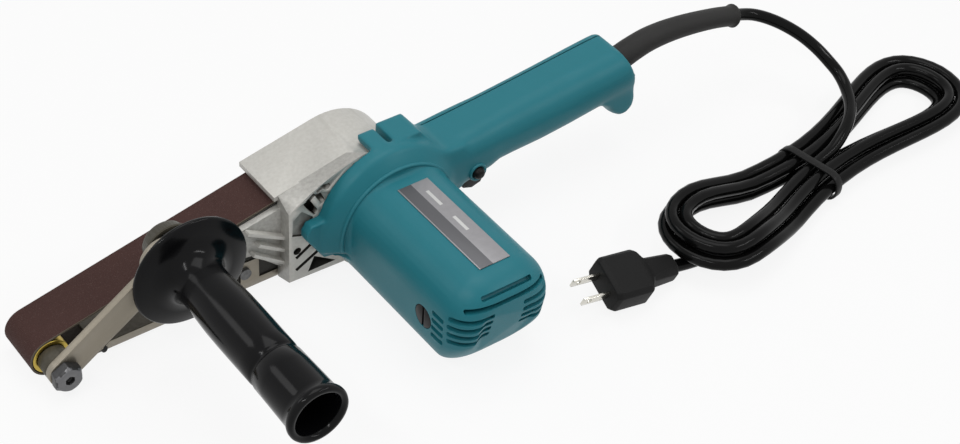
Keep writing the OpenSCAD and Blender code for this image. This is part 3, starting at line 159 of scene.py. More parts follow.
class Finish:
    """The node tree of a material or a world, under construction."""

    def __init__(self, name, family=bpy.data.materials):
        self.owner = family.new(name)
        self.owner.use_nodes = True
        self.tree = self.owner.node_tree
        self.tree.nodes.clear()
        self.place = self.node("ShaderNodeTexCoord", {}, "Object")

    def node(self, kind, sockets, output=0, **settings):
        """A new node: its settings first, then its inputs. Gives one of its outputs."""
        made = self.tree.nodes.new(kind)
        for key, value in settings.items():
            if key == "stops":
                for stop, position in zip(made.color_ramp.elements, value):
                    stop.position = position
            else:
                setattr(made, key, value)
        for key, value in sockets.items():
            if isinstance(value, Wire):
                self.tree.links.new(value.socket, made.inputs[key])
            else:
                made.inputs[key].default_value = value
        return Wire(self, made.outputs[output]) if made.outputs else None

    def outputs(self, kind, sockets):
        """A new node with all its outputs by name."""
        made = self.node(kind, sockets).socket.node
        return {socket.name: Wire(self, socket) for socket in made.outputs}

    def axes(self):
        return self.outputs("ShaderNodeSeparateXYZ", {0: self.place}).values()

    def noise(self, scale, detail=3.0):
        sockets = {"Vector": self.place, "Scale": scale, "Detail": detail}
        return self.node("ShaderNodeTexNoise", sockets)

    def step(self, value, low, high):
        """A ramp from zero to one."""
        return self.node("ShaderNodeValToRGB", {"Fac": value}, stops=(low, high))

    def blend(self, share, first, second):
        first, second = (c if isinstance(c, Wire) else (*c, 1) for c in (first, second))
        sockets = {0: share, MIX_A: first, MIX_B: second}
        return self.node("ShaderNodeMix", sockets, MIX_OUT, data_type="RGBA")

    def bump(self, height, strength, depth):
        sockets = {"Height": height, "Strength": strength, "Distance": depth}
        return self.node("ShaderNodeBump", sockets, "Normal")

    def edges(self):
        """Mask of convex edges, for wear."""
        edge = self.node("ShaderNodeNewGeometry", {}, "Pointiness")
        return self.step(edge, EDGE_FROM, EDGE_FULL)

    def seen(self):
        """One for rays from the camera, off gloss and through clear pieces; otherwise zero."""
        rays = self.outputs("ShaderNodeLightPath", {})
        eye = rays["Is Camera Ray"].sum("MAXIMUM", rays["Is Glossy Ray"])
        return eye.sum("MAXIMUM", rays["Is Transmission Ray"])

    def done(self, colour, roughness, normal, metal=0.0, shine=0.5):
        sockets = {"Base Color": colour, "Roughness": roughness, "Metallic": metal}
        sockets.update({"Normal": normal, "Specular IOR Level": shine})
        return self.close(self.node("ShaderNodeBsdfPrincipled", sockets))

    def close(self, shader, end="ShaderNodeOutputMaterial"):
        self.node(end, {"Surface": shader})
        return self.owner


print("patterns of a finish:", [name for name in vars(Finish) if not name.startswith("_")])

# %% [markdown]
# ## Plastics and rubber
# The shells are moulded in teal plastic with a fine spark grain. The grip is polished black, the
# cord guard is soft dull rubber and the lead has a smooth shiny jacket. Each could have a tree of
# its own, but all six are one recipe with different numbers: a grain that bumps the surface, a slow
# cloud that shifts shade and gloss, and pale wear on edges.

# %% Moulded finishes
CLOUD_SHARE, CLOUD_DARK, WEAR_SHARE, GRAIN_DEPTH = 0.5, 0.86, 0.5, 0.0002
MATT_LESS, MATT_CLOUD, MATT_GRAIN = 0.06, 0.12, 0.05


def grey(value):
    return (value, value, value)


def moulded(name, colour, worn, rough, grain, grain_scale, shine):
    f = Finish(name)
    cloud, fine = (f.noise(scale, detail=2.0) for scale in (60.0, grain_scale))
    shade = f.blend(cloud * CLOUD_SHARE, colour, [c * CLOUD_DARK for c in colour])
    tint = f.blend(f.edges() * f.noise(scale=400.0) * WEAR_SHARE, shade, worn)
    matt = rough - MATT_LESS + cloud * MATT_CLOUD + fine * MATT_GRAIN
    return f.done(tint, matt, f.bump(fine, grain, GRAIN_DEPTH), shine=shine)


teal = moulded("teal_shell", (0.0147, 0.163, 0.201), (0.1, 0.27, 0.31), 0.4, 0.18, 2600.0, 0.22)
gloss_black = moulded("polished_black", (0.003, 0.003, 0.0035), grey(0.02), 0.13, 0.02, 900.0, 0.12)
guard_rubber = moulded("guard_rubber", (0.016, 0.0155, 0.015), grey(0.05), 0.6, 0.25, 1800.0, 0.25)
jacket = moulded("lead_jacket", grey(0.003), grey(0.015), 0.13, 0.015, 700.0, 0.1)
plug_rubber = moulded("plug_rubber", grey(0.008), grey(0.04), 0.5, 0.2, 2200.0, 0.12)
dark_plastic = moulded("dark_plastic", grey(0.008), grey(0.04), 0.36, 0.12, 2000.0, 0.12)
print("moulded nodes:", len(teal.node_tree.nodes))

# %% [markdown]
# ## Metals
# The castings are pale shot-blasted alloy, with a darker copy as painted shade on some faces and a
# near-black one as painted shadow in the hollows. The arm and the shoe are pressed steel under a
# thin khaki coat, and the axles and bolts are turned steel. Metal would show its own lights, so one
# recipe
# makes them all: a fine bump, a mottle in shade and gloss, and bright metal where edges are worn.

# %% Metal finishes
METAL_DARK, METAL_WEAR, LUMP_DEPTH, GLOSS_CLOUD, GLOSS_LUMPS = 0.82, 0.6, 0.0003, 0.3, 0.06


def metal(name, colour, rough, lumps, lump_scale, metallic=1.0, worn=None, mottle=0.5, shine=0.5):
    f = Finish(name)
    cloud, fine = (f.noise(scale, detail=4.0) for scale in (90.0, lump_scale))
    shade = f.blend(cloud * mottle, colour, [c * METAL_DARK for c in colour])
    if worn:
        shade = f.blend(f.edges() * f.noise(scale=500.0) * METAL_WEAR, shade, worn)
    matt = rough + (cloud - 0.5) * mottle * GLOSS_CLOUD + fine * GLOSS_LUMPS
    return f.done(shade, matt, f.bump(fine, lumps, LUMP_DEPTH), metallic, shine)


cast_alloy = metal(
    "cast_alloy", (0.43, 0.42, 0.385), 0.42, 0.14, 1500.0, 0.3, (0.66, 0.65, 0.62), mottle=0.12
)
# Two darker copies of the alloy: painted shade for faces that tilt from the lamps, and painted
# shadow for the hollows.
painted_shade_alloy = metal(
    "painted_shade_alloy", (0.23, 0.225, 0.205), 0.36, 0.06, 2200.0, 0.3, (0.62, 0.61, 0.58), mottle=0.15
)
painted_shadow_alloy = metal("painted_shadow_alloy", (0.05, 0.048, 0.043), 0.5, 0.14, 1500.0, 0.2, shine=0.1)
dark_khaki = metal(
    "dark_khaki_steel", (0.055, 0.05, 0.037), 0.42, 0.1, 1800.0, 0.15, (0.2, 0.18, 0.15), shine=0.12
)
khaki = metal("khaki_steel", (0.27, 0.24, 0.19), 0.4, 0.1, 1800.0, 0.55, (0.5, 0.48, 0.44))
dark_steel = metal("oiled_steel", (0.03, 0.03, 0.031), 0.38, 0.12, 2400.0, 0.4, grey(0.3))
faced_steel = metal("faced_steel", (0.15, 0.15, 0.155), 0.3, 0.1, 2400.0, 0.6, grey(0.5))
steel = metal("turned_steel", (0.5, 0.5, 0.51), 0.3, 0.08, 3000.0)
brass = metal("brass", (0.5, 0.37, 0.08), 0.3, 0.08, 2600.0)
copper = metal("copper", (0.6, 0.28, 0.14), 0.35, 0.1, 1600.0)
nickel = metal("nickel", (0.68, 0.66, 0.6), 0.16, 0.03, 1800.0)
print("metal nodes:", len(cast_alloy.node_tree.nodes))

# %% [markdown]
# ## Belt cloth
# The belt is brown cloth with grit on its outside. Grains could be scattered as small meshes, but
# they are finer than a pixel, so cells in a bump stand for them, and pale specks for the loose ones.
# The weave of the bare cloth is the product of two sine waves, one for each set of threads.

# %% Belt finishes
SPECK_SHARE, GRIT_MATT, GRIT_STAIN = 0.35, 0.62, 0.2
THREADS, CLOTH_MATT, CLOTH_WEAVE = 9000.0, 0.8, 0.08

f = Finish("grit_coat")
stain = f.noise(scale=45.0, detail=4.0)
shade = f.blend(stain, (0.046, 0.022, 0.019), (0.066, 0.034, 0.03))
specks = f.step(f.noise(scale=1700.0, detail=1.0), low=0.62, high=0.7) * SPECK_SHARE
shade = f.blend(specks, shade, (0.15, 0.1, 0.09))
grains = f.node("ShaderNodeTexVoronoi", {"Vector": f.place, "Scale": 2400.0})
bump = f.bump(grains, strength=0.7, depth=GRAIN_DEPTH)
grit = f.done(shade, GRIT_MATT + stain * GRIT_STAIN, bump, shine=0.12)


def cloth_finish(name, light, dark):
    f = Finish(name)
    x, y, z = f.axes()
    warp, weft = ((axis * THREADS).sum("SINE", 0.0) for axis in (x + z, y))
    weave = warp * weft
    bump = f.bump(weave, strength=0.5, depth=GRAIN_DEPTH)
    matt = CLOTH_MATT + weave * CLOTH_WEAVE
    return f.done(f.blend(f.noise(scale=700.0), light, dark), matt, bump, shine=0.2)


cloth = cloth_finish("belt_edge", (0.17, 0.14, 0.11), (0.1, 0.085, 0.065))
belt_back = cloth_finish("belt_back", (0.045, 0.036, 0.03), (0.025, 0.02, 0.017))
print("belt finishes:", [m.name for m in (grit, cloth, belt_back)])

# %% [markdown]
# ## The label
# The label is a plate of grey foil with a dark band and two pale bars. These could be an image or
# small meshes. Masks on the plate's own coordinates are sharp at any distance, and as shares of the
# plate they follow its size.

# %% Label finish
BAND_SPAN, BAR_SPANS, BAR_SIDES = (0.56, 0.97), ((0.12, 0.3), (0.45, 0.62)), (0.28, 0.38)
FOIL_MATT, FOIL_CLOUD = 0.34, 0.12


def between(value, span):
    return (value > span[0]) * (value < span[1])


low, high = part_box("label_plate")
f = Finish("bare_label")
x, y, _ = f.axes()
across = (x - low.x) * (1 / (high.x - low.x))
along = (y - low.y) * (1 / (high.y - low.y))
foil = f.blend(f.noise(scale=300.0), (0.24, 0.235, 0.245), (0.3, 0.295, 0.305))
shade = f.blend(between(across, BAND_SPAN), foil, (0.085, 0.085, 0.092))
for span in BAR_SPANS:
    bar = between(along, span) * between(across, BAR_SIDES)
    shade = f.blend(bar, shade, (0.55, 0.55, 0.54))
matt = FOIL_MATT + f.noise(scale=120.0) * FOIL_CLOUD
bump = f.bump(f.noise(scale=2500.0), strength=0.05, depth=0.0001)
label = f.done(shade, matt, bump, metal=0.35)
print("label nodes:", len(label.node_tree.nodes))

# %% [markdown]
# ## Meshes from rings
# A tube, a turned grip, a plug and a motor barrel look unlike, but each is a skin stretched over a
# row of outlines. They could be built from primitives and edited. One helper that joins rings
# serves them all, and keeps their sizes in tables. Places are in millimetres from the drive axle.

# %% Ring helpers
DRIVE_X, SHARP, TOUCHING = -90.85, 40, 1e-7


def at(x, y, z):
    """A point given in millimetres from the drive axle."""
    return Vector(((x + DRIVE_X) * MM, y * MM, z * MM))


def about(centre, y, r, t):
    """A point about an axis along Y."""
    return at(centre[0] + r * cos(t), y, centre[1] + r * sin(t))


def turn_angles(sides):
    return [2 * pi * k / sides for k in range(sides)]


def skin(mesh, rings, ends):
    """Faces between each ring and the next, with or without caps."""
    rows = [[mesh.verts.new(p) for p in ring] for ring in rings]
    count = len(rows[0])
    for first, second in zip(rows, rows[1:]):
        for i in range(count):
            j = (i + 1) % count
            mesh.faces.new((first[i], first[j], second[j], second[i]))
    if ends:
        mesh.faces.new(rows[0][::-1])
        mesh.faces.new(rows[-1])


def smooth(data, sharp):
    """Smooth faces, with edges over an angle left sharp."""
    data.shade_smooth()
    data.set_sharp_from_angle(angle=radians(sharp))


def from_bmesh(name, mesh, finish, sharp=SHARP):
    """The mesh as an object with one finish."""
    data = bpy.data.meshes.new(name)
    mesh.to_mesh(data)
    mesh.free()
    made = placed(name, data)
    data.materials.clear()
    data.materials.append(finish)
    smooth(data, sharp)
    return made


def piece(name, skins, finish, sharp=SHARP, closed=False):
    """An object of one or more skins; a closed skin returns to its first ring."""
    mesh = bmesh.new()
    for rings in skins:
        skin(mesh, rings + rings[:1] if closed else rings, ends=not closed)
    if closed:
        bmesh.ops.remove_doubles(mesh, verts=mesh.verts, dist=TOUCHING)
    bmesh.ops.recalc_face_normals(mesh, faces=mesh.faces)
    return from_bmesh(name, mesh, finish, sharp)


def faces(made):
    return len(made.data.polygons)


print("drive axle at", [round(v, 4) for v in at(0, 0, 0)])

# %% [markdown]
# ## Copies with soft edges
# The CAD pieces have the right shapes but knife edges, which no real piece has. A copy with its
# loose triangles merged into whole faces can be bevelled, and that is quicker and truer than
# modelling it again. Modifiers are baked at once, so that the next step works on what is seen.

# %% Bevels, copies and bodies
SHARED, FLAT, BEVEL_SHARP = 1e-6, radians(1), 50


def bake(made):
    """Turns the object's modifiers into its plain mesh."""
    graph = bpy.context.evaluated_depsgraph_get()
    finishes = list(made.data.materials)
    data = bpy.data.meshes.new_from_object(made.evaluated_get(graph))
    made.modifiers.clear()
    made.data = data
    data.materials.clear()
    for finish in finishes:
        data.materials.append(finish)
    return made


def bevel(made, width, segments=2, angle=35):
    change = made.modifiers.new("soft_edges", "BEVEL")
    change.width, change.segments = width * MM, segments
    change.limit_method, change.angle_limit = "ANGLE", radians(angle)
    bake(made)
    smooth(made.data, BEVEL_SHARP)
    return made


def copy_of(node, name, finish):
    """A copy of a CAD piece with its loose triangles merged into whole faces."""
    mesh = bmesh.new()
    mesh.from_mesh(nodes[node].data)
    bmesh.ops.remove_doubles(mesh, verts=mesh.verts, dist=SHARED)
    bmesh.ops.dissolve_limit(mesh, angle_limit=FLAT, verts=mesh.verts, edges=mesh.edges)
    return from_bmesh(name, mesh, finish)


def put(made, body, slot, *stands_for):
    """Attaches the piece to its body and hides the CAD nodes that it stands for. The slot is not
    used.
    """
    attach(made, body)
    if stands_for:
        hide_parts(*stands_for)


print("casting corners:", len(nodes["gear_housing"].data.vertices))

# %% [markdown]
# ## The lead
# The lead leaves the guard, drops in a bow, climbs onto the hank, runs its four turns and comes out
# to the plug. A hank could be drawn point by point, but a formula keeps the strands apart: long
# ovals drawn in at the waist, an upper layer that spirals out and a lower one that spirals in. One
# smooth curve through all its points gives one tube with its own length.

# %% Route of the lead
LEAD_D = 7.8
LEAD_ROUTE = [
    (-383.5, 21, 58.5), (-391.3, 21, 56.5), (-399.5, 23.5, 54.6), (-407, 29.5, 52.5),
    (-414, 38, 49.5), (-420.5, 47.5, 45), (-425.5, 57, 39.5), (-429.5, 66, 33), (-431, 75, 28),
    (-427.5, 86, 24.7), (-419.5, 98, 23.3), (-409, 107.5, 22.2), (-397.5, 114, 19.6),
    (-386, 118, 15.9),
]
TAIL_ROUTE = [
    (20, 2.6, 5.6), (40, 3.6, 5.6), (60, 5, 5.6), (80, 6.2, 5.6), (98, 6.4, 5.6), (112, 5, 5.7),
    (126, 1.9, 6.6), (139, -1.7, 8.5),
]
HANK_MIDDLE, HANK_TURN, HANK_TURNS = (-375.85, 117.5), radians(9.7), 4
HANK_HALF, WAIST_HALF, LOBE_FULL, STRAND_STEP = 133, 19, 73, 8.4
HANK_LOW, HANK_START, LAYER_EARLY, LAYER_RATE = 5.55, 89, 0.25, 2
LOBE_LIFT, LIFT_FROM, LIFT_OVER, TURN_STEPS, ROUTE_STEPS = 10.5, 0.35, 0.4, 64, 6


def on_table(along, across, height):
    """A point in the hank's own frame."""
    c, s = cos(HANK_TURN), sin(HANK_TURN)
    x, y = HANK_MIDDLE
    return Vector((x + along * c - across * s, y + along * s + across * c, height))


def eased(share):
    """A soft step from zero to one."""
    share = min(1, max(0, share))
    return share * share * (3 - 2 * share)


def hank_point(turns):
    """A point of the hank after a number of turns."""
    angle = radians(HANK_START - 360 * turns)
    inward = STRAND_STEP * abs(turns - HANK_TURNS / 2)
    low = min(1, max(0, (turns - HANK_TURNS / 2 + LAYER_EARLY) * LAYER_RATE))
    c, s = cos(angle), sin(angle)
    full = LOBE_FULL - WAIST_HALF
    wide = WAIST_HALF + full * c * c
    way = Vector((-HANK_HALF * s, c * wide - 2 * full * s * s * c)).normalized()
    along, across = HANK_HALF * c - inward * way.y, s * wide + inward * way.x
    lift = LOBE_LIFT * eased((along - HANK_HALF * LIFT_FROM) / (HANK_HALF * LIFT_OVER))
    return on_table(along, across, HANK_LOW + STRAND_STEP * (1 - low) + lift)


def through(points, steps):
    """A smooth line through points, as a cubic between each pair."""
    line = []
    for i in range(len(points) - 1):
        p = [points[max(0, min(len(points) - 1, i + k))] for k in (-1, 0, 1, 2)]
        for n in range(steps):
            t = n / steps
            line.append(0.5 * (
                2 * p[1] + (p[2] - p[0]) * t + (2 * p[0] - 5 * p[1] + 4 * p[2] - p[3]) * t * t
                + (3 * p[1] - p[0] - 3 * p[2] + p[3]) * t * t * t
            ))
    return line + [points[-1]]


hank = [hank_point(i / TURN_STEPS) for i in range(HANK_TURNS * TURN_STEPS + 1)]
lead = through([Vector(p) for p in LEAD_ROUTE] + hank[:1], ROUTE_STEPS)
tail = through(hank[-1:] + [on_table(*p) for p in TAIL_ROUTE], ROUTE_STEPS)
route = [p * MM for p in lead[:-1] + hank + tail[1:]]
lead_length = sum((b - a).length for a, b in zip(route, route[1:]))
print("lead:", len(route), "points,", round(lead_length, 3), "m")

# %% [markdown]
# ## Sweeping a tube
# A bevelled curve makes a tube, but its ends and its twist are Blender's own choice. Here each
# ring's side is carried over from the ring before and made square to the new heading, so the tube
# doesn't twist. The same sweep makes the lead, the cord guard, the barrel's ridge and the spring.

# %% Lead
def swept(path, radii, sides):
    """Rings along a path that don't twist."""
    rings, side = [], None
    turns = turn_angles(sides)
    for i, p in enumerate(path):
        way = (path[min(i + 1, len(path) - 1)] - path[max(i - 1, 0)]).normalized()
        side = Vector((0, 0, 1)).cross(way) if side is None else side
        side = (side - way * side.dot(way)).normalized()
        over = way.cross(side)
        rings.append([p + radii[i] * (side * cos(t) + over * sin(t)) for t in turns])
    return rings


cord = piece("mains_lead", [swept(route, [LEAD_D / 2 * MM] * len(route), sides=20)], jacket)
put(cord, "tool", "black_rubber", "cord_lead", "cord_hank", "cord_tail")
print("lead faces:", faces(cord))

# %% [markdown]
# ## The cord guard
# A rubber guard keeps the lead from kinking where it leaves the handle. It tapers to the lead and
# ends in a bead. Separate cones and rings would show seams, so it is one swept tube whose radius
# follows a slow ease and one narrow bump.

# %% Cord guard
GUARD_ROUTE = [
    (-278, 21, 59), (-286, 21, 61.6), (-291, 21, 63.2), (-299, 21, 65.7), (-310, 21, 68),
    (-322, 21, 68.6), (-334, 21, 68), (-346, 21, 66.6), (-357, 21, 64.8), (-368, 21, 62.6),
    (-378, 21, 60), (-383.5, 21, 58.5),
]
GUARD_R, TAPER, TAPER_RATE, LIP = 8.3, 0.22, 1.15, 0.4
BEAD, BEAD_AT, BEAD_SPREAD = 0.13, 0.965, 0.022

guard_line = through([Vector(p) for p in GUARD_ROUTE], steps=8)
guard_radii = []
for i in range(len(guard_line)):
    share = i / (len(guard_line) - 1)
    bead = exp(-((share - BEAD_AT) / BEAD_SPREAD) ** 2)
    guard_radii.append(GUARD_R * (1 - TAPER * eased(share * TAPER_RATE) + BEAD * bead))
guard_radii[-1] = LEAD_D / 2 + LIP
guard_rings = swept([p * MM for p in guard_line], [r * MM for r in guard_radii], sides=40)
guard = piece("cord_guard_boot", [guard_rings], guard_rubber, sharp=60)
put(guard, "tool", "black_rubber", "cord_guard")
print("guard radii:", round(min(guard_radii), 2), "to", round(max(guard_radii), 2), "mm")

# %% [markdown]
# ## The plug
# The plug is a soft moulding: a square sleeve round the lead, a shoulder and a chamfered block with
# two flat blades. It could be a box with loops cut in. Chamfered rectangles along its own axis give
# the same skin from a short table, and a narrow bevel rounds what the mould rounds.

# %% Plug
PLUG_HEADING, PLUG_PITCH, PLUG_ROLL = (radians(a) for a in (-14.5, 8, -18))
# Place along the axis, width, thickness and corner cut.
PLUG_RINGS = [
    (0, 13.4, 12.2, 3), (1.2, 14.6, 13.2, 3), (18.4, 16.2, 14.2, 2.4), (20.6, 19, 15.8, 2.6),
    (22.8, 27, 17.4, 2.8), (24.6, 29.6, 17.9, 2.8), (46.2, 29.6, 17.9, 2.8), (49, 26.8, 15.4, 2.6),
]
plug_axes = (
    Matrix.Translation(on_table(*TAIL_ROUTE[-1]))
    @ Matrix.Rotation(HANK_TURN + PLUG_HEADING, 4, "Z")
    @ Matrix.Rotation(-PLUG_PITCH, 4, "Y")
    @ Matrix.Rotation(PLUG_ROLL, 4, "X")
)


def chamfered(along, wide, thick, cut):
    w, t = wide / 2, thick / 2
    corners = [
        (w, t - cut), (w - cut, t), (-w + cut, t), (-w, t - cut),
        (-w, -t + cut), (-w + cut, -t), (w - cut, -t), (w, -t + cut),
    ]
    return [(plug_axes @ Vector((along, y, z))) * MM for y, z in corners]


plug = piece("plug_moulding", [[chamfered(*ring) for ring in PLUG_RINGS]], plug_rubber)
put(bevel(plug, width=0.8, segments=3, angle=20), "tool", "black_rubber", "plug_body")
blades = bevel(copy_of("plug_blades", "plug_blades_soft", nickel), width=0.2)
put(blades, "tool", "nickel", "plug_blades")
print("plug faces:", faces(plug), "blade faces:", faces(blades))

# %% [markdown]
# ## The tie
# A flat band holds the hank at its waist. It is a rounded rectangle with a wall, closed on itself,
# so four rings of points make it.

# %% Tie
TIE_AT, TIE_SHIFT, TIE_WIDE, TIE_THICK = 12, 2.2, 5.4, 1.5
TIE_HALF, TIE_TOP, TIE_BEND = 21.6, 18.45, 7.4


def rounded(half_w, half_h, near_r, far_r, steps=10):
    """A rectangle about its middle, with a corner radius for each side."""
    points = []
    for cx, cz, start in ((1, 1, 0), (-1, 1, 90), (-1, -1, 180), (1, -1, 270)):
        r = near_r if cx > 0 else far_r
        for k in range(steps + 1):
            t = radians(start + 90 * k / steps)
            points.append((cx * (half_w - r) + r * cos(t), cz * (half_h - r) + r * sin(t)))
    return points


def tie_ring(along, grow):
    bend = TIE_BEND + grow
    half_h, middle = (TIE_TOP - TIE_THICK) / 2 + grow, (TIE_TOP + TIE_THICK) / 2
    outline = rounded(TIE_HALF + grow, half_h, bend, bend, steps=6)
    return [on_table(TIE_AT + along, TIE_SHIFT + y, middle + z) * MM for y, z in outline]


tie_sides = ((-1, 0), (-1, TIE_THICK), (1, TIE_THICK), (1, 0))
tie_rings = [tie_ring(side * TIE_WIDE / 2, grow) for side, grow in tie_sides]
tie = bevel(piece("tie_band", [tie_rings], dark_plastic, closed=True), width=0.35)
put(tie, "tool", "black_rubber", "cord_tie")

print("tie faces:", faces(tie))

# %% [markdown]
# ## The motor barrel and its bell
# The motor sits in a square barrel with round corners. Its end is drawn in over a long rounding and
# leans back at the bottom, and at its root a wide bell meets the gear casting. A cylinder would
# need many cuts to get there. Rings along the motor's axis describe both directly.

# %% Outlines of barrel and bell
MOTOR = (-21.577, 33.5)
BARREL_HALF, BARREL_CORNER, BARREL_END, CORNER_SHARE = 33, 23.5, 147, 0.74
ROUND_FROM, ROUND_SHARE = 130, 0.8
LEAN_FROM, LEAN, LEAN_POWER = 115, 18, 1.2
BELL_R, BELL_LEDGE, BELL_SIDES = 46.3, -13.4, 96
BARREL_ROWS = (36, 60, 100, 130, 133, 136, 139, 141.5, 143.5, 145, 146, 146.7, 147)
BELL_ROWS = ((29, 46.3), (35, 46.3), (37.6, 45.3), (41.5, 40.6), (43, 38.4), (44.5, 36.8))


def bell_ring(y, r):
    """A round rim with a ledge, under which it keeps to the barrel's corner."""
    ring = []
    straight = BARREL_HALF - BARREL_CORNER
    for t in turn_angles(BELL_SIDES):
        x, z = r * cos(t), max(r * sin(t), -BARREL_HALF)
        if x > BARREL_HALF and z < BELL_LEDGE:
            z = BELL_LEDGE
        elif x > straight and z < -straight:
            reach = hypot(x - straight, z + straight)
            pull = min(1, BARREL_CORNER / reach)
            x, z = straight + (x - straight) * pull, -straight + (z + straight) * pull
        ring.append(at(MOTOR[0] + x, y, MOTOR[1] + z))
    return ring


def barrel_ring(y):
    """The barrel draws in over a long rounding, and its end leans back at the bottom."""
    round_depth = BARREL_END - ROUND_FROM
    depth = max(0, (y - ROUND_FROM) / round_depth)
    inset = round_depth * (1 - sqrt(max(0, 1 - depth * depth))) * ROUND_SHARE
    half = BARREL_HALF - inset
    corner = min(BARREL_CORNER, half * CORNER_SHARE)
    slope = LEAN * max(0, (y - LEAN_FROM) / (BARREL_END - LEAN_FROM))
    return [
        at(MOTOR[0] + x, y - slope * max(0, -z / BARREL_HALF) ** LEAN_POWER, MOTOR[1] + z)
        for x, z in rounded(half, half, corner, corner)
    ]


barrel_rows = [barrel_ring(y) for y in BARREL_ROWS]
bell_rows = [bell_ring(*row) for row in BELL_ROWS]
print("barrel rings:", len(barrel_rows), "bell rings:", len(bell_rows))

# %% [markdown]
# ## The handle
# The handle grows out of the bell and tilts up to the back. Its near side is well rounded for the
# palm, the cover's side is squarer, and a pommel hangs from its end to stop the hand. Rings in a
# frame of its own, along and square to the handle, keep its table easy to read.

# %% Outlines of the handle
HANDLE_TILT, HANDLE_MIDDLE, FAR_BEND = radians(6.4), (-98.7, 22, 49.5), 5.5
# Place along the handle, half width, top, bottom, share of rounding and lean.
HANDLE_ROWS = (
    (60, 17.5, 18.4, 20, 0.5), (44, 17.8, 17.8, 18.8, 0.6), (20, 18, 17.2, 17.6, 0.72),
    (8, 17.8, 17, 17, 0.8), (1, 17.4, 16.9, 15.4, 0.86), (-8, 17.3, 16.8, 16.4, 0.9),
    (-30, 17.3, 16.8, 18.4, 0.92), (-50, 17.5, 16.8, 18.4, 0.92), (-72, 17.9, 16.8, 17, 0.92),
    (-88, 18, 16.8, 16.6, 0.92, 2), (-97, 17.9, 16.6, 16.6, 0.9, 5),
    (-101, 17, 15.6, 15.6, 0.88, 6),
)
POMMEL = [
    (-98, 6), (-101.6, -20), (-99.5, -25.5), (-95, -28.5), (-89, -28.2), (-84.5, -24.5),
    (-80.5, -18), (-75, -13), (-75, 6),
]
POMMEL_MIDDLE, POMMEL_DRAW = -90, 0.4
# Place across the handle, and how much the pommel is drawn in there.
POMMEL_ROWS = ((5, 2.5), (8, 0.6), (12, 0), (31, 0), (35.5, 0.8), (38, 2.6))


def handle_place(along, up):
    """X and Z of a point given along the handle and square to it."""
    c, s = cos(HANDLE_TILT), sin(HANDLE_TILT)
    return HANDLE_MIDDLE[0] + along * c + up * s, HANDLE_MIDDLE[2] - along * s + up * c


def on_handle(along, y, up):
    x, z = handle_place(along, up)
    return at(x, y, z)


def handle_ring(along, half_w, top, low, bend, lean=0):
    half_h, middle = (top + low) / 2, (top - low) / 2
    outline = rounded(half_w, half_h, min(half_w, half_h) * bend, FAR_BEND)
    return [
        on_handle(along + lean * max(0, z / half_h), HANDLE_MIDDLE[1] + y, z + middle)
        for y, z in outline
    ]


def pommel_ring(y, shrink):
    ring = []
    for x, z in POMMEL:
        draw = POMMEL_DRAW if x < POMMEL_MIDDLE else -POMMEL_DRAW
        ring.append(on_handle(x + shrink * draw, y, z + shrink * (1 if z < 0 else 0)))
    return ring


handle_rows = [handle_ring(*row) for row in HANDLE_ROWS]
pommel_rows = [pommel_ring(*row) for row in POMMEL_ROWS]
print("handle rings:", len(handle_rows), "pommel rings:", len(pommel_rows))

# %% [markdown]
# ## One moulding
# Barrel, bell, lugs and handle are one moulding with soft fillets where they meet. Fillets could be
# modelled one by one. Voxel remeshing fuses the overlapping shapes into one skin, and a few rounds
# of smoothing give all the fillets at once. Behind the bell and at the pommel they are larger, so
# these two spots get more rounds.

# %% Fuse the shell
HOOD, HOOD_CLEAR = (-12, 34.5), 39.4
# Centre, reach and rounds of the extra smoothing.
SOFT_SPOTS = (((-62, 38, 58), 30, 60), ((-196, 36, 52), 20, 50))


def wall(points, y_from, y_to):
    """An outline in X and Z, drawn from one Y to another."""
    return [[at(x, y, z) for x, z in points] for y in (y_from, y_to)]


def on_bell(shares):
    return [(MOTOR[0] + x * BELL_R, MOTOR[1] + z * BELL_R) for x, z in shares]


def hood_arc(start, end, steps=16):
    """The shell's clear line round the belt hood."""
    turns = [radians(start + (end - start) * k / steps) for k in range(steps + 1)]
    return [(HOOD[0] + HOOD_CLEAR * cos(t), HOOD[1] + HOOD_CLEAR * sin(t)) for t in turns]


def fuse(made, voxel, rounds):
    change = made.modifiers.new("fuse", "REMESH")
    change.mode, change.voxel_size, change.use_smooth_shade = "VOXEL", voxel * MM, True
    soften = made.modifiers.new("soften", "SMOOTH")
    soften.iterations = rounds
    return bake(made)


def soften_near(made, centre, reach, rounds):
    """More smoothing round one point, which fades out with the distance."""
    group = made.vertex_groups.new(name="near")
    for vertex in made.data.vertices:
        share = 1 - (vertex.co - at(*centre)).length / (reach * MM)
        if share > 0:
            group.add([vertex.index], eased(share * 2), "REPLACE")
    change = made.modifiers.new("soften_near", "SMOOTH")
    change.vertex_group, change.iterations = "near", rounds
    bake(made)
    made.vertex_groups.clear()


ear = on_bell([(0.86, 0.3), (1.13, 0.3), (1.2, 0.22), (1.2, 0.1), (0.95, -0.285), (0.8, -0.285)])
web = on_bell([
    (-0.45, 0.8), (-0.68, 0.73), (-0.82, 0.64), (-1.1, 0.62), (-1.1, 0), (-0.92, -0.2),
    (-0.45, -0.2),
])
web_low = on_bell([(-0.7, 0.72), (-0.82, 0.64), (-1.1, 0.62), (-1.1, 0), (-0.98, -0.16)])
front_lug = on_bell([(0.2, 1), (-0.05, 1)])
rear_lug = on_bell([(-0.12, 1), (-0.48, 1), (-0.7, 0.72)])
# Outline and place across the tool, from and to.
WALLS = (
    (ear, 29, 36), (web, 29, 38.5), (web_low + hood_arc(196, 140), 10, 30),
    (front_lug + hood_arc(105, 92), 14, 31), (rear_lug + hood_arc(142, 112), 11, 31),
)
shell_skins = [barrel_rows, bell_rows, handle_rows, pommel_rows] + [wall(*w) for w in WALLS]
shell = fuse(piece("shell", shell_skins, teal), voxel=1.0, rounds=7)
for spot in SOFT_SPOTS:
    soften_near(shell, *spot)
print("shell faces:", faces(shell))

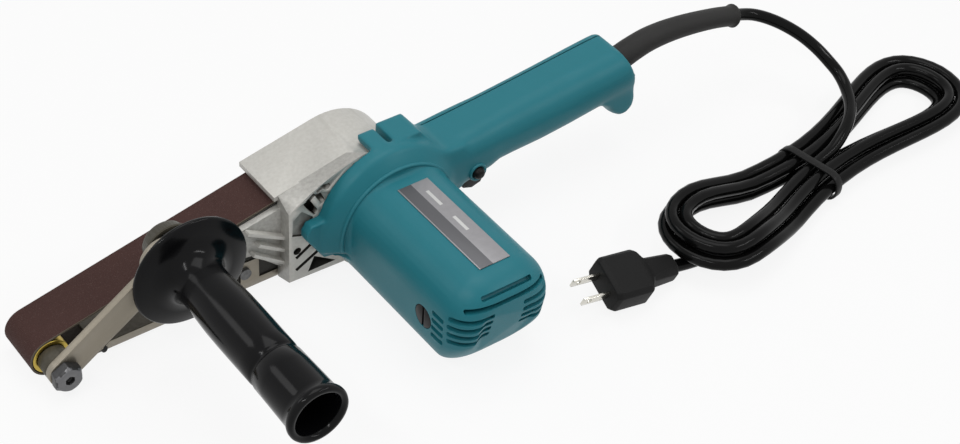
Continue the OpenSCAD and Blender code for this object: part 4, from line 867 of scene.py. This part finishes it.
# %% [markdown]
# ## Vent slots by Geometry Nodes
# The barrel's end is slotted for air. The slots come in rows, which an Array modifier could make
# too. A node tree does it with named inputs for the count, the step and the size, and gives the
# blocks the finish that the cut faces take.

# %% A tree for rows of blocks
rows = bpy.data.node_groups.new("row_of_blocks", "GeometryNodeTree")
for name, way, kind in (
    ("Geometry", "OUTPUT", "Geometry"), ("Count", "INPUT", "Int"), ("Step", "INPUT", "Vector"),
    ("Size", "INPUT", "Vector"), ("Finish", "INPUT", "Material"),
):
    rows.interface.new_socket(name, in_out=way, socket_type="NodeSocket" + kind)
new = rows.nodes.new
inputs, end = new("NodeGroupInput"), new("NodeGroupOutput")
line, block = new("GeometryNodeMeshLine"), new("GeometryNodeMeshCube")
copies, real = new("GeometryNodeInstanceOnPoints"), new("GeometryNodeRealizeInstances")
finish = new("GeometryNodeSetMaterial")
for first, socket, second, target in (
    (inputs, "Count", line, "Count"), (inputs, "Step", line, "Offset"),
    (inputs, "Size", block, "Size"), (line, "Mesh", copies, "Points"),
    (block, "Mesh", copies, "Instance"), (copies, "Instances", real, "Geometry"),
    (real, "Geometry", finish, "Geometry"), (inputs, "Finish", finish, "Material"),
    (finish, "Geometry", end, "Geometry"),
):
    rows.links.new(first.outputs[socket], second.inputs[target])


def block_row(name, count, start, step, size, turn=Matrix.Identity(4)):
    """A baked row of blocks, in millimetres, turned about its start."""
    made = placed(name, bpy.data.meshes.new(name))
    change = made.modifiers.new("row", "NODES")
    change.node_group = rows
    step, size = ([v * MM for v in values] for values in (step, size))
    values = {"Count": count, "Step": step, "Size": size, "Finish": teal}
    for socket in rows.interface.items_tree:
        if socket.in_out == "INPUT":
            change[socket.identifier] = values[socket.name]
    bake(made)
    made.data.transform(Matrix.Translation(at(*start)) @ turn)
    return made


print("row nodes:", len(rows.nodes))

# %% [markdown]
# ## Cutting the slots
# A mould's cores leave clean slots with rounded ends. They could be painted as a dark pattern, but
# real openings catch the light on their edges. So each row of blocks is bevelled and taken from the
# shell by a Boolean.

# %% Air slots
SLOT, SLOT_DEEP, ROW_COUNT, ROW_STEP = 3.2, 13, 4, (0, 0, -5.3)
# Name, distance from the middle, place along the barrel, top and size.
SIDE_ROWS = (
    ("end_slots", 24.5, 142.5, 47.5, (30, 15, SLOT)),
    ("side_slots", 33, 127.6, 43, (7, 10, SLOT)),
)
# Name, place along the barrel, height, tilt in degrees and width.
TOP_SLOTS = (("lower_slot", 141, 53.6, 10, 52), ("upper_slot", 145.4, 61.7, 41, 33))


def cut(made, cutter):
    """Takes a cutter's shape out of a piece."""
    change = made.modifiers.new("cut", "BOOLEAN")
    change.operation, change.object, change.solver = "DIFFERENCE", cutter, "EXACT"
    bake(made)
    bpy.data.objects.remove(cutter)


slot_rows = []
for side in (-1, 1):
    for name, off, y, top, size in SIDE_ROWS:
        start = (MOTOR[0] + side * off, y, top)
        slot_rows.append(block_row(name, ROW_COUNT, start, ROW_STEP, size))
for name, y, z, tilt, wide in TOP_SLOTS:
    turn = Matrix.Rotation(radians(tilt), 4, "X")
    size = (wide, SLOT_DEEP, SLOT)
    slot_rows.append(block_row(name, 1, (MOTOR[0], y, z), (0, 0, 0), size, turn))
for row in slot_rows:
    cut(shell, bevel(row, width=1.1, segments=3))
print("slot rows:", len(slot_rows), "shell faces:", faces(shell))

# %% [markdown]
# ## Seats and openings
# The brush caps sit in round seats, the lock button and the trigger come out of openings, and the
# cover's screws lie in recesses. The same Boolean makes them all, with plain drums and drawn
# outlines as cutters, which are exact and easy to place.

# %% Seats and openings
X, Y = 0, 1
CAP_Y, LOCK, LOCK_Y, RECESS_Y = 115, (-80, 40), 40, 4
# Name, outline and place across the handle, from and to.
OPENINGS = (
    ("trigger_opening", [(-96, 6), (-72, 6), (-72, 41), (-96, 44)], 15.6, 28.4),
    ("trigger_relief", [(-98, 18), (-66, 18), (-66, 31.5), (-98, 34.6)], 28, 46),
)
COVER_SCREWS = ((20, 9), (-40, 8), (-88, -12))


def drum(name, centre, axis, r, length, sides=48):
    """A plain cylinder along X or Y to cut with."""
    rings = []
    for end in (-length / 2, length / 2):
        ring = []
        for t in turn_angles(sides):
            place = list(centre)
            place[axis] += end
            place[1 - axis] += r * cos(t)
            place[2] += r * sin(t)
            ring.append(at(*place))
        rings.append(ring)
    return piece(name, [rings], dark_plastic)


for side in (-1, 1):
    cap = (MOTOR[0] + side * BARREL_HALF, CAP_Y, MOTOR[1])
    cut(shell, drum("cap_seat", cap, X, r=7.3, length=9))
cut(shell, drum("lock_seat", (LOCK[0], LOCK_Y, LOCK[1]), Y, r=3.9, length=24))
for name, outline, y_from, y_to in OPENINGS:
    cut(shell, piece(name, [wall(outline, y_from, y_to)], dark_plastic))
for screw in COVER_SCREWS:
    x, z = handle_place(*screw)
    cut(shell, drum("screw_recess", (x, RECESS_Y, z), Y, r=3.9, length=5))
print("shell faces:", faces(shell))

# %% [markdown]
# ## The handle's cover
# The handle is moulded in two parts that meet at a seam, so that the switch can be put in. A groove
# would only look like a seam. A plane splits the shell, each side is closed again, and a fine gap
# is left between them. Last, a thin ridge is swept round the barrel's root.

# %% Split off the handle cover
SEAM, SEAM_GAP = 10, 0.9
RIDGE_R, RIDGE_Y, RIDGE_THICK = 37.6, 43.6, 1.25
RIDGE_FROM, RIDGE_STEP, RIDGE_POINTS = -8, 4, 50


def part_off(source, name, y, below):
    """One side of a piece, cut by a plane across Y and closed."""
    mesh = bmesh.new()
    mesh.from_mesh(source.data)
    geometry = mesh.verts[:] + mesh.edges[:] + mesh.faces[:]
    made = bmesh.ops.bisect_plane(
        mesh, geom=geometry, plane_co=(0, y * MM, 0), plane_no=(0, 1, 0),
        clear_outer=below, clear_inner=not below,
    )
    rim = [e for e in made["geom_cut"] if isinstance(e, bmesh.types.BMEdge)]
    bmesh.ops.triangle_fill(mesh, use_beauty=True, edges=rim)
    bmesh.ops.recalc_face_normals(mesh, faces=mesh.faces)
    return from_bmesh(name, mesh, source.data.materials[0], sharp=50)


cover = part_off(shell, "handle_cover_shell", SEAM - SEAM_GAP / 2, True)
put(cover, "tool", "teal_plastic", "handle_cover")
main_shell = part_off(shell, "motor_shell", SEAM + SEAM_GAP / 2, False)
put(main_shell, "tool", "teal_plastic", "motor_housing")
bpy.data.objects.remove(shell)

ridge_turns = [radians(RIDGE_FROM + RIDGE_STEP * k) for k in range(RIDGE_POINTS)]
ridge_line = [about(MOTOR, RIDGE_Y, RIDGE_R, t) for t in ridge_turns]
ridge_rings = swept(ridge_line, [RIDGE_THICK * MM] * len(ridge_line), sides=12)
put(piece("barrel_ridge", [ridge_rings], teal, sharp=80), "tool", "teal_plastic")
print("cover faces:", faces(cover), "shell faces:", faces(main_shell))

# %% [markdown]
# ## The gear casting
# The casting carries the wheels and hoods the belt. It is a bevelled copy of its CAD piece with
# three small pockets cut in. Some of its faces take a darker alloy as painted shade, and its hollows
# a near-black one as painted shadow. A painted mask could show that. A short table of regions is
# easier to change, and each face takes the finish of the first region that it lies in.

# %% Casting
POCKETS = [
    [(19.9, 68.2), (15.6, 67.6), (14.2, 65.4), (16.6, 63.2), (20.1, 65.4)],
    [(25.2, 63.4), (20.9, 63.2), (17.8, 56.2), (20.4, 54.8)],
    [(32.4, 59.8), (28, 61), (22.8, 51.6), (24.8, 48.6), (28.8, 53.6)],
]
# The darker finish is painted shade on faces that tilt from the lamps, and the darkest is painted
# shadow in the hollows.
AS_CAST, PAINTED_SHADE, PAINTED_SHADOW = 0, 1, 2
FAR, ANY = 999, -2
# Finish, two corners, and an axis with the least share that a face looks along it.
REGIONS = (
    (PAINTED_SHADOW, (37, -FAR, -FAR), (FAR, 16.5, 58), 0, ANY),
    (PAINTED_SHADE, (-9, 17.5, 50), (FAR, FAR, FAR), 2, 0.3),
    (PAINTED_SHADE, (-FAR, 26.5, -FAR), (41.2, 28.4, 70), 1, 0.9),
    (PAINTED_SHADOW, (-FAR, 18, -FAR), (41.2, 28.4, 70), 0, ANY),
    (PAINTED_SHADE, (41, 17, -FAR), (42, FAR, FAR), 0, 0.9),
    (PAINTED_SHADE, (41.5, -FAR, -FAR), (FAR, 21, FAR), 1, 0.9),
)

casting = copy_of("gear_housing", "gear_casting", cast_alloy)
bevel(casting, width=0.5, angle=30)
for outline in POCKETS:
    pocket = piece("pocket", [wall(outline, y_from=22, y_to=31)], cast_alloy)
    cut(casting, bevel(pocket, width=0.8, segments=3, angle=30))
for finish in (painted_shade_alloy, painted_shadow_alloy):
    casting.data.materials.append(finish)


def casting_finish(place, facing):
    """Which finish a face takes, from its middle in millimetres and its normal."""
    for finish, low, high, axis, least in REGIONS:
        inside = all(a < p < b for a, p, b in zip(low, place, high))
        if inside and facing[axis] > least:
            return finish
    return AS_CAST


for face in casting.data.polygons:
    place = (face.center.x / MM - DRIVE_X, face.center.y / MM, face.center.z / MM)
    face.material_index = casting_finish(place, face.normal)
put(casting, "tool", "cast_alloy", "gear_housing")
print("casting faces:", faces(casting))

# %% [markdown]
# ## The casting's beam
# A narrow beam of the casting runs along under the belt's upper run. Its corners could be typed as
# points. As distances below the belt's straight line they stay clear of the belt, so one small
# function gives all four.

# %% Beam
RUN_X, RUN_Z, RUN_SLOPE = 6.9, 63, 0.2252
BEAM_FROM, BEAM_TO, BEAM_TOP, BEAM_LOW, BEAM_FAR, BEAM_NEAR = 36, 92, 1, 9, 11, 14.7


def under_belt(x, gap):
    """A point below the belt's upper run."""
    return x, RUN_Z - RUN_SLOPE * (x - RUN_X) - gap


beam_outline = [
    under_belt(BEAM_FROM, BEAM_LOW), under_belt(BEAM_TO, BEAM_LOW),
    under_belt(BEAM_TO, BEAM_TOP), under_belt(BEAM_FROM, BEAM_TOP),
]
# The beam takes the darker alloy as painted shade, since it lies under the belt.
beam = piece("casting_beam", [wall(beam_outline, BEAM_FAR, BEAM_NEAR)], painted_shade_alloy)
put(beam, "tool", "cast_alloy")
print("beam faces:", faces(beam))

# %% [markdown]
# ## Pressings and small mouldings
# The arm, the cup behind the grip, the shoe, the trigger, the brush caps, the label and the idler
# wheel keep their CAD shapes, each with a bevel that suits its material, so a table and a loop make
# them. The cup is drawn a little smaller and the trigger stands a little nearer than their solids.
# The shoe's outward face keeps the khaki, and its other faces take dark khaki as painted shade.

# %% Pressings and small mouldings
GRIP = (111.1, 60.8)
CUP_SHARE, TRIGGER_NEARER, SHOE_EDGE = 0.8, 2, 0.5
# Node, body, slot, finish and bevel width.
SOFT_COPIES = (
    ("idler_arm", "arm", "khaki_paint", khaki, 0.7),
    ("grip_bracket", "tool", "khaki_paint", dark_khaki, 0.3),
    ("shoe_plate", "tool", "khaki_paint", khaki, 0.25),
    ("trigger", "trigger_body", "black_plastic", dark_plastic, 0.8),
    ("brush_caps", "tool", "black_plastic", dark_plastic, 0.4),
    ("label_plate", "tool", "label_metal", label, 0.12),
    ("idler_wheel", "idler", "yellow_metal", brass, 0.5),
)
middle, shrink = at(GRIP[0], 0, GRIP[1]), Matrix.Diagonal((CUP_SHARE, 1, CUP_SHARE, 1))
MOVES = {
    "grip_bracket": Matrix.Translation(middle) @ shrink @ Matrix.Translation(-middle),
    "trigger": Matrix.Translation(Vector((0, TRIGGER_NEARER, 0)) * MM),
}
for node, body, slot, finish, width in SOFT_COPIES:
    soft = bevel(copy_of(node, node + "_soft", finish), width)
    if node in MOVES:
        soft.data.transform(MOVES[node])
    # Faces of the shoe that don't face outward take dark khaki as painted shade.
    if node == "shoe_plate":
        soft.data.materials.append(dark_khaki)
        for face in soft.data.polygons:
            face.material_index = 0 if face.normal.y > SHOE_EDGE else 1
    put(soft, body, slot, node)
    print(node, "faces:", faces(soft))

# %% [markdown]
# ## The belt
# The belt is a closed strip that runs over both wheels: two arcs and two straight runs. Its section
# is drawn along that line, so the coated face, the cut edges and the inside are rows of faces, and
# each row has its own finish.

# %% Belt
DRIVE_WHEEL, IDLER_WHEEL = (0, 32.5), (181.7, 12.3)
DRIVE_R, IDLER_R = 31.3, 11.1
BELT_HALF, BELT_THICK, BELT_EDGE = 15, 1.2, 0.25
FOLLOW_FROM, FOLLOW_TO = 40, 160
COATED, CUT_EDGE, INSIDE = 0, 1, 2
wheel_drop = DRIVE_WHEEL[1] - IDLER_WHEEL[1]
run_angle = 2 * asin(wheel_drop / hypot(IDLER_WHEEL[0], wheel_drop))


def loop(grow):
    """The belt's line round both wheels."""
    points = []
    over, under = pi / 2 - run_angle, 1.5 * pi
    for (cx, cz), r, start, end, steps in (
        (DRIVE_WHEEL, DRIVE_R + grow, over, under, 64),
        (IDLER_WHEEL, IDLER_R + grow, -pi / 2, over, 40),
    ):
        turns = [start + (end - start) * k / steps for k in range(steps + 1)]
        points += [(cx + r * cos(t), cz + r * sin(t)) for t in turns]
    return points


section = [
    (-BELT_HALF, 0), (-BELT_HALF, BELT_THICK - BELT_EDGE), (-BELT_HALF + BELT_EDGE, BELT_THICK),
    (BELT_HALF - BELT_EDGE, BELT_THICK), (BELT_HALF, BELT_THICK - BELT_EDGE), (BELT_HALF, 0),
]
belt_rows = [[at(x, y, z) for x, z in loop(grow)] for y, grow in section]
belt = piece("sanding_belt", [belt_rows], grit, closed=True)
belt.data.materials.append(cloth)
belt.data.materials.append(belt_back)
for face in belt.data.polygons:
    across = [belt.data.vertices[v].co.y / MM for v in face.vertices]
    if max(abs(y) for y in across) < BELT_HALF - BELT_EDGE / 2:
        face.material_index = COATED
    else:
        face.material_index = INSIDE if max(across) - min(across) > BELT_HALF else CUT_EDGE
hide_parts("abrasive_belt")
follow = at(FOLLOW_FROM, 0, DRIVE_WHEEL[1]), at(FOLLOW_TO, 0, IDLER_WHEEL[1])
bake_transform(belt)
print("belt faces:", faces(belt))

# %% [markdown]
# ## Turned pieces
# The side grip, the lock button and its collar are round about one axis. A Screw modifier could
# turn a profile about it. Rings do the same with the helper at hand, and the profile's own points
# round the edges and make the fillet between the grip and its guard disc.

# %% Grip and lock button
LOCK_SIDES, LOCK_SHARP = 48, 60
# Place along the axis and radius.
GRIP_PROFILE = [
    (40, 0.3), (40, 18), (41.2, 33), (41.8, 33.8), (42.7, 34), (43.6, 33.8), (44.2, 33),
    (45.2, 25), (46.6, 19.5), (49.5, 16.2), (53.5, 14.6), (58, 14.1), (64, 14.2), (72, 14.7),
    (82, 15.2), (92, 15.3), (104, 15.3), (116, 15.2), (124, 15.1), (125.1, 14.6), (125.9, 14.2),
    (127.1, 14.2), (127.9, 14.6), (128.8, 15.3), (138, 15.5), (150, 15.8), (158, 16), (160.6, 16.2),
    (162.2, 17.1), (163.6, 17.6), (165.3, 17.6), (166.6, 17), (167, 16), (166.9, 14.6),
    (166, 13.6), (164, 12.9), (155, 12.4), (142.5, 11.7), (141.6, 10.9), (141.6, 0.3),
]
LOCK_PROFILE = [
    (34, 0.3), (34, 3.7), (41.4, 3.7), (42.5, 3.4), (43.4, 2.8), (43.9, 1.9), (44, 1), (44, 0.3),
]
COLLAR_PROFILE = [
    (35, 3.95), (35, 6.2), (40.2, 6), (40.9, 5.7), (41.1, 5.2), (40.9, 4.5), (40.3, 3.95),
]


def turned_rings(centre, profile, sides):
    return [[about(centre, y, r, t) for t in turn_angles(sides)] for y, r in profile]


def turned(name, centre, profile, finish, sides=96, sharp=45):
    return piece(name, [turned_rings(centre, profile, sides)], finish, sharp)


grip = turned("side_grip_turned", GRIP, GRIP_PROFILE, gloss_black, sharp=80)
put(grip, "tool", "black_plastic", "side_grip")
lock = turned("lock_button_turned", LOCK, LOCK_PROFILE, dark_plastic, LOCK_SIDES, LOCK_SHARP)
put(lock, "lock", "black_plastic", "lock_button")
collar_rings = turned_rings(LOCK, COLLAR_PROFILE, LOCK_SIDES)
collar = piece("lock_collar", [collar_rings], teal, LOCK_SHARP, closed=True)
put(collar, "tool", "teal_plastic")
print("grip faces:", faces(grip), "lock faces:", faces(lock))

# %% [markdown]
# ## The idler's bolt and spacer
# A hexagon bolt with a hexagon socket holds the idler wheel on a round spacer. The bolt could be a
# cylinder with a Boolean socket. It is turned like the pieces before, with some rings as hexagons:
# the radius of each point depends on its angle to the flat. The faced end of its head is brighter.

# %% Idler bolt and spacer
ROUND, HEX = 0, 6
FACED_FROM, FACED_TOWARDS = 34, 0.5
# Place along the axis, kind and radius.
BOLT_RINGS = [
    (-14, ROUND, 0.3), (-14, ROUND, 4), (29.53, ROUND, 4), (29.53, HEX, 8.4), (30.2, HEX, 8.95),
    (34.6, HEX, 8.95), (36.5, ROUND, 6.9), (36.5, HEX, 2.9), (33.6, HEX, 2.9), (33.6, HEX, 0.3),
]
SPACER_PROFILE = [(15.4, 0.3), (15.4, 8.1), (15.8, 8.5), (24.5, 8.5), (25, 8.1), (25, 0.3)]


def bolt_ring(y, kind, r):
    """A round ring or a hexagon, which has the radius at its corners."""
    ring = []
    for t in turn_angles(sides=48):
        flat = (t + pi / HEX) % (2 * pi / HEX) - pi / HEX
        reach = r if kind == ROUND else r * cos(pi / HEX) / cos(flat)
        ring.append(about(IDLER_WHEEL, y, reach, t))
    return ring


bolt = piece("idler_bolt_hex", [[bolt_ring(*ring) for ring in BOLT_RINGS]], dark_steel)
bevel(bolt, width=0.4, angle=25)
put(bolt, "arm", "dark_steel", "idler_bolt")
bolt.data.materials.append(faced_steel)
for face in bolt.data.polygons:
    faced = face.normal.y > FACED_TOWARDS and face.center.y > FACED_FROM * MM
    face.material_index = 1 if faced else 0
spacer = turned("idler_spacer_turned", IDLER_WHEEL, SPACER_PROFILE, dark_khaki, sides=64)
put(spacer, "arm", "dark_steel", "idler_spacer")
print("bolt faces:", faces(bolt), "spacer faces:", faces(spacer))

# %% [markdown]
# ## The spring
# A short coil spring pushes the arm out to keep the belt tight. It is a tube along a helix, made by
# the same sweep as the lead.

# %% Spring
SPRING_FROM, SPRING_TO, SPRING_Y, SPRING_Z, SPRING_R = 78.57, 94.75, 24.875, 40.13, 3
COILS, COIL_STEPS, WIRE_R = 5, 24, 0.5
coil = []
for k in range(COILS * COIL_STEPS + 1):
    t = 2 * pi * k / COIL_STEPS
    along = SPRING_FROM + (SPRING_TO - SPRING_FROM) * k / (COILS * COIL_STEPS)
    coil.append(at(along, SPRING_Y + SPRING_R * sin(t), SPRING_Z + SPRING_R * cos(t)))
spring = piece("arm_spring", [swept(coil, [WIRE_R * MM] * len(coil), sides=10)], steel)
put(spring, "tool", "bare_steel", "tension_spring")
spring_foot = tuple(at(SPRING_FROM, SPRING_Y, SPRING_Z))
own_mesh(spring)
print("spring faces:", faces(spring))

# %% [markdown]
# ## Inner pieces
# The drive wheel, bearings, gears and windings stay as the CAD made them, since little of them
# shows. Each takes the finish of its real metal or plastic from a table.

# %% Finishes on CAD pieces
INNER = {
    steel: [
        "housing_screws", "handle_screws", "motor_bearings", "spindle_bearings", "clamp_screws",
        "grip_stud", "armature_shaft", "field_core", "armature_core", "drive_spindle", "drive_gear",
        "wheel_nut", "guide_screw", "trigger_pin",
    ],
    dark_steel: ["shoe_screw", "bracket_screw"],
    cast_alloy: ["gear_plate", "drive_wheel"],
    copper: ["field_coils", "commutator"],
    brass: ["brush_holders"],
    dark_plastic: [
        "carbon_brushes", "switch_body", "cord_clamp", "cooling_fan", "idler_bearing",
        "tracking_screw",
    ],
    guard_rubber: ["drive_tyre"],
}
for finish, names in INNER.items():
    for name in names:
        nodes[name].data.materials.clear()
        nodes[name].data.materials.append(finish)
print("inner pieces:", sum(len(names) for names in INNER.values()))

# %% [markdown]
# ## Floor and world
# A catalogue picture has a white sweep. A floor that only glows would lose the shadow, and one that
# is only lit would look grey. So it is lit as a pale surface is, and glows for the rays that the
# eye follows. The world is white to the same rays, and dimmer as a light.

# %% Floor and world
FLOOR_PALE, FLOOR_GLOW, FLOOR_DROP, WORLD_LIGHT = (*grey(0.75), 1), 0.88, 0.0004, 0.4
WHITE = (*grey(1), 1)

sweep = Finish("white_sweep")
pale = sweep.node("ShaderNodeBsdfDiffuse", {"Color": FLOOR_PALE})
glow = sweep.node("ShaderNodeEmission", {"Color": WHITE, "Strength": 1.0})
lit = sweep.node("ShaderNodeMixShader", {0: sweep.seen() * FLOOR_GLOW, 1: pale, 2: glow})
floor_mesh = bmesh.new()
bmesh.ops.create_circle(floor_mesh, cap_ends=True, radius=6, segments=64)
floor = from_bmesh("sweep", floor_mesh, sweep.close(lit))
floor.location.z = -FLOOR_DROP
floor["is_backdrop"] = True

sky = Finish("studio", bpy.data.worlds)
dim, white = (
    sky.node("ShaderNodeBackground", {"Color": WHITE, "Strength": strength})
    for strength in (WORLD_LIGHT, 1.0)
)
around = sky.node("ShaderNodeMixShader", {0: sky.seen(), 1: dim, 2: white})
scene.world = sky.close(around, "ShaderNodeOutputWorld")
print("floor nodes:", len(sweep.tree.nodes), "world nodes:", len(sky.tree.nodes))

# %% [markdown]
# ## Lamps
# One large soft lamp hangs above. Two long narrow strips at the sides draw the bright lines that
# black plastic shows in a studio, and a small square lamp lights the far side. All of them point at
# the camera's target, so moving one keeps its aim.

# %% Lamps
# Name, place, size and power in watts.
LAMPS = (
    ("top_lamp", (-0.3, -0.1, 1.5), (1.0, 1.0), 8),
    ("key_lamp", (0.75, 0.35, 1.25), (0.9, 0.06), 5),
    ("fill_lamp", (-0.9, 0.9, 1.0), (0.9, 0.08), 4),
    ("back_lamp", (0.9, -0.9, 1.1), (0.5, 0.5), 2),
)
for name, place, size, power in LAMPS:
    lamp = placed(name, bpy.data.lights.new(name, "AREA"))
    lamp.data.shape, lamp.data.energy = "RECTANGLE", power
    lamp.data.size, lamp.data.size_y = size
    lamp.location = place
    lamp.rotation_mode = "QUATERNION"
    lamp.rotation_quaternion = (Vector(place) - TARGET).to_track_quat("Z", "Y")
scene.view_settings.view_transform = "Standard"
print("lamps:", [lamp[0] for lamp in LAMPS])

# %% [markdown]
# ## Keeping to size
# Dressing should hardly change the tool's size. Both boxes are measured, and how far the dressed
# tool reaches past the solids is printed.

# %% Size and finish
low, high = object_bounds()
below = [round((c - v) / MM, 2) for c, v in zip(cad_low, low)]
above = [round((v - c) / MM, 2) for c, v in zip(cad_high, high)]
print("growth in mm:", below, above)
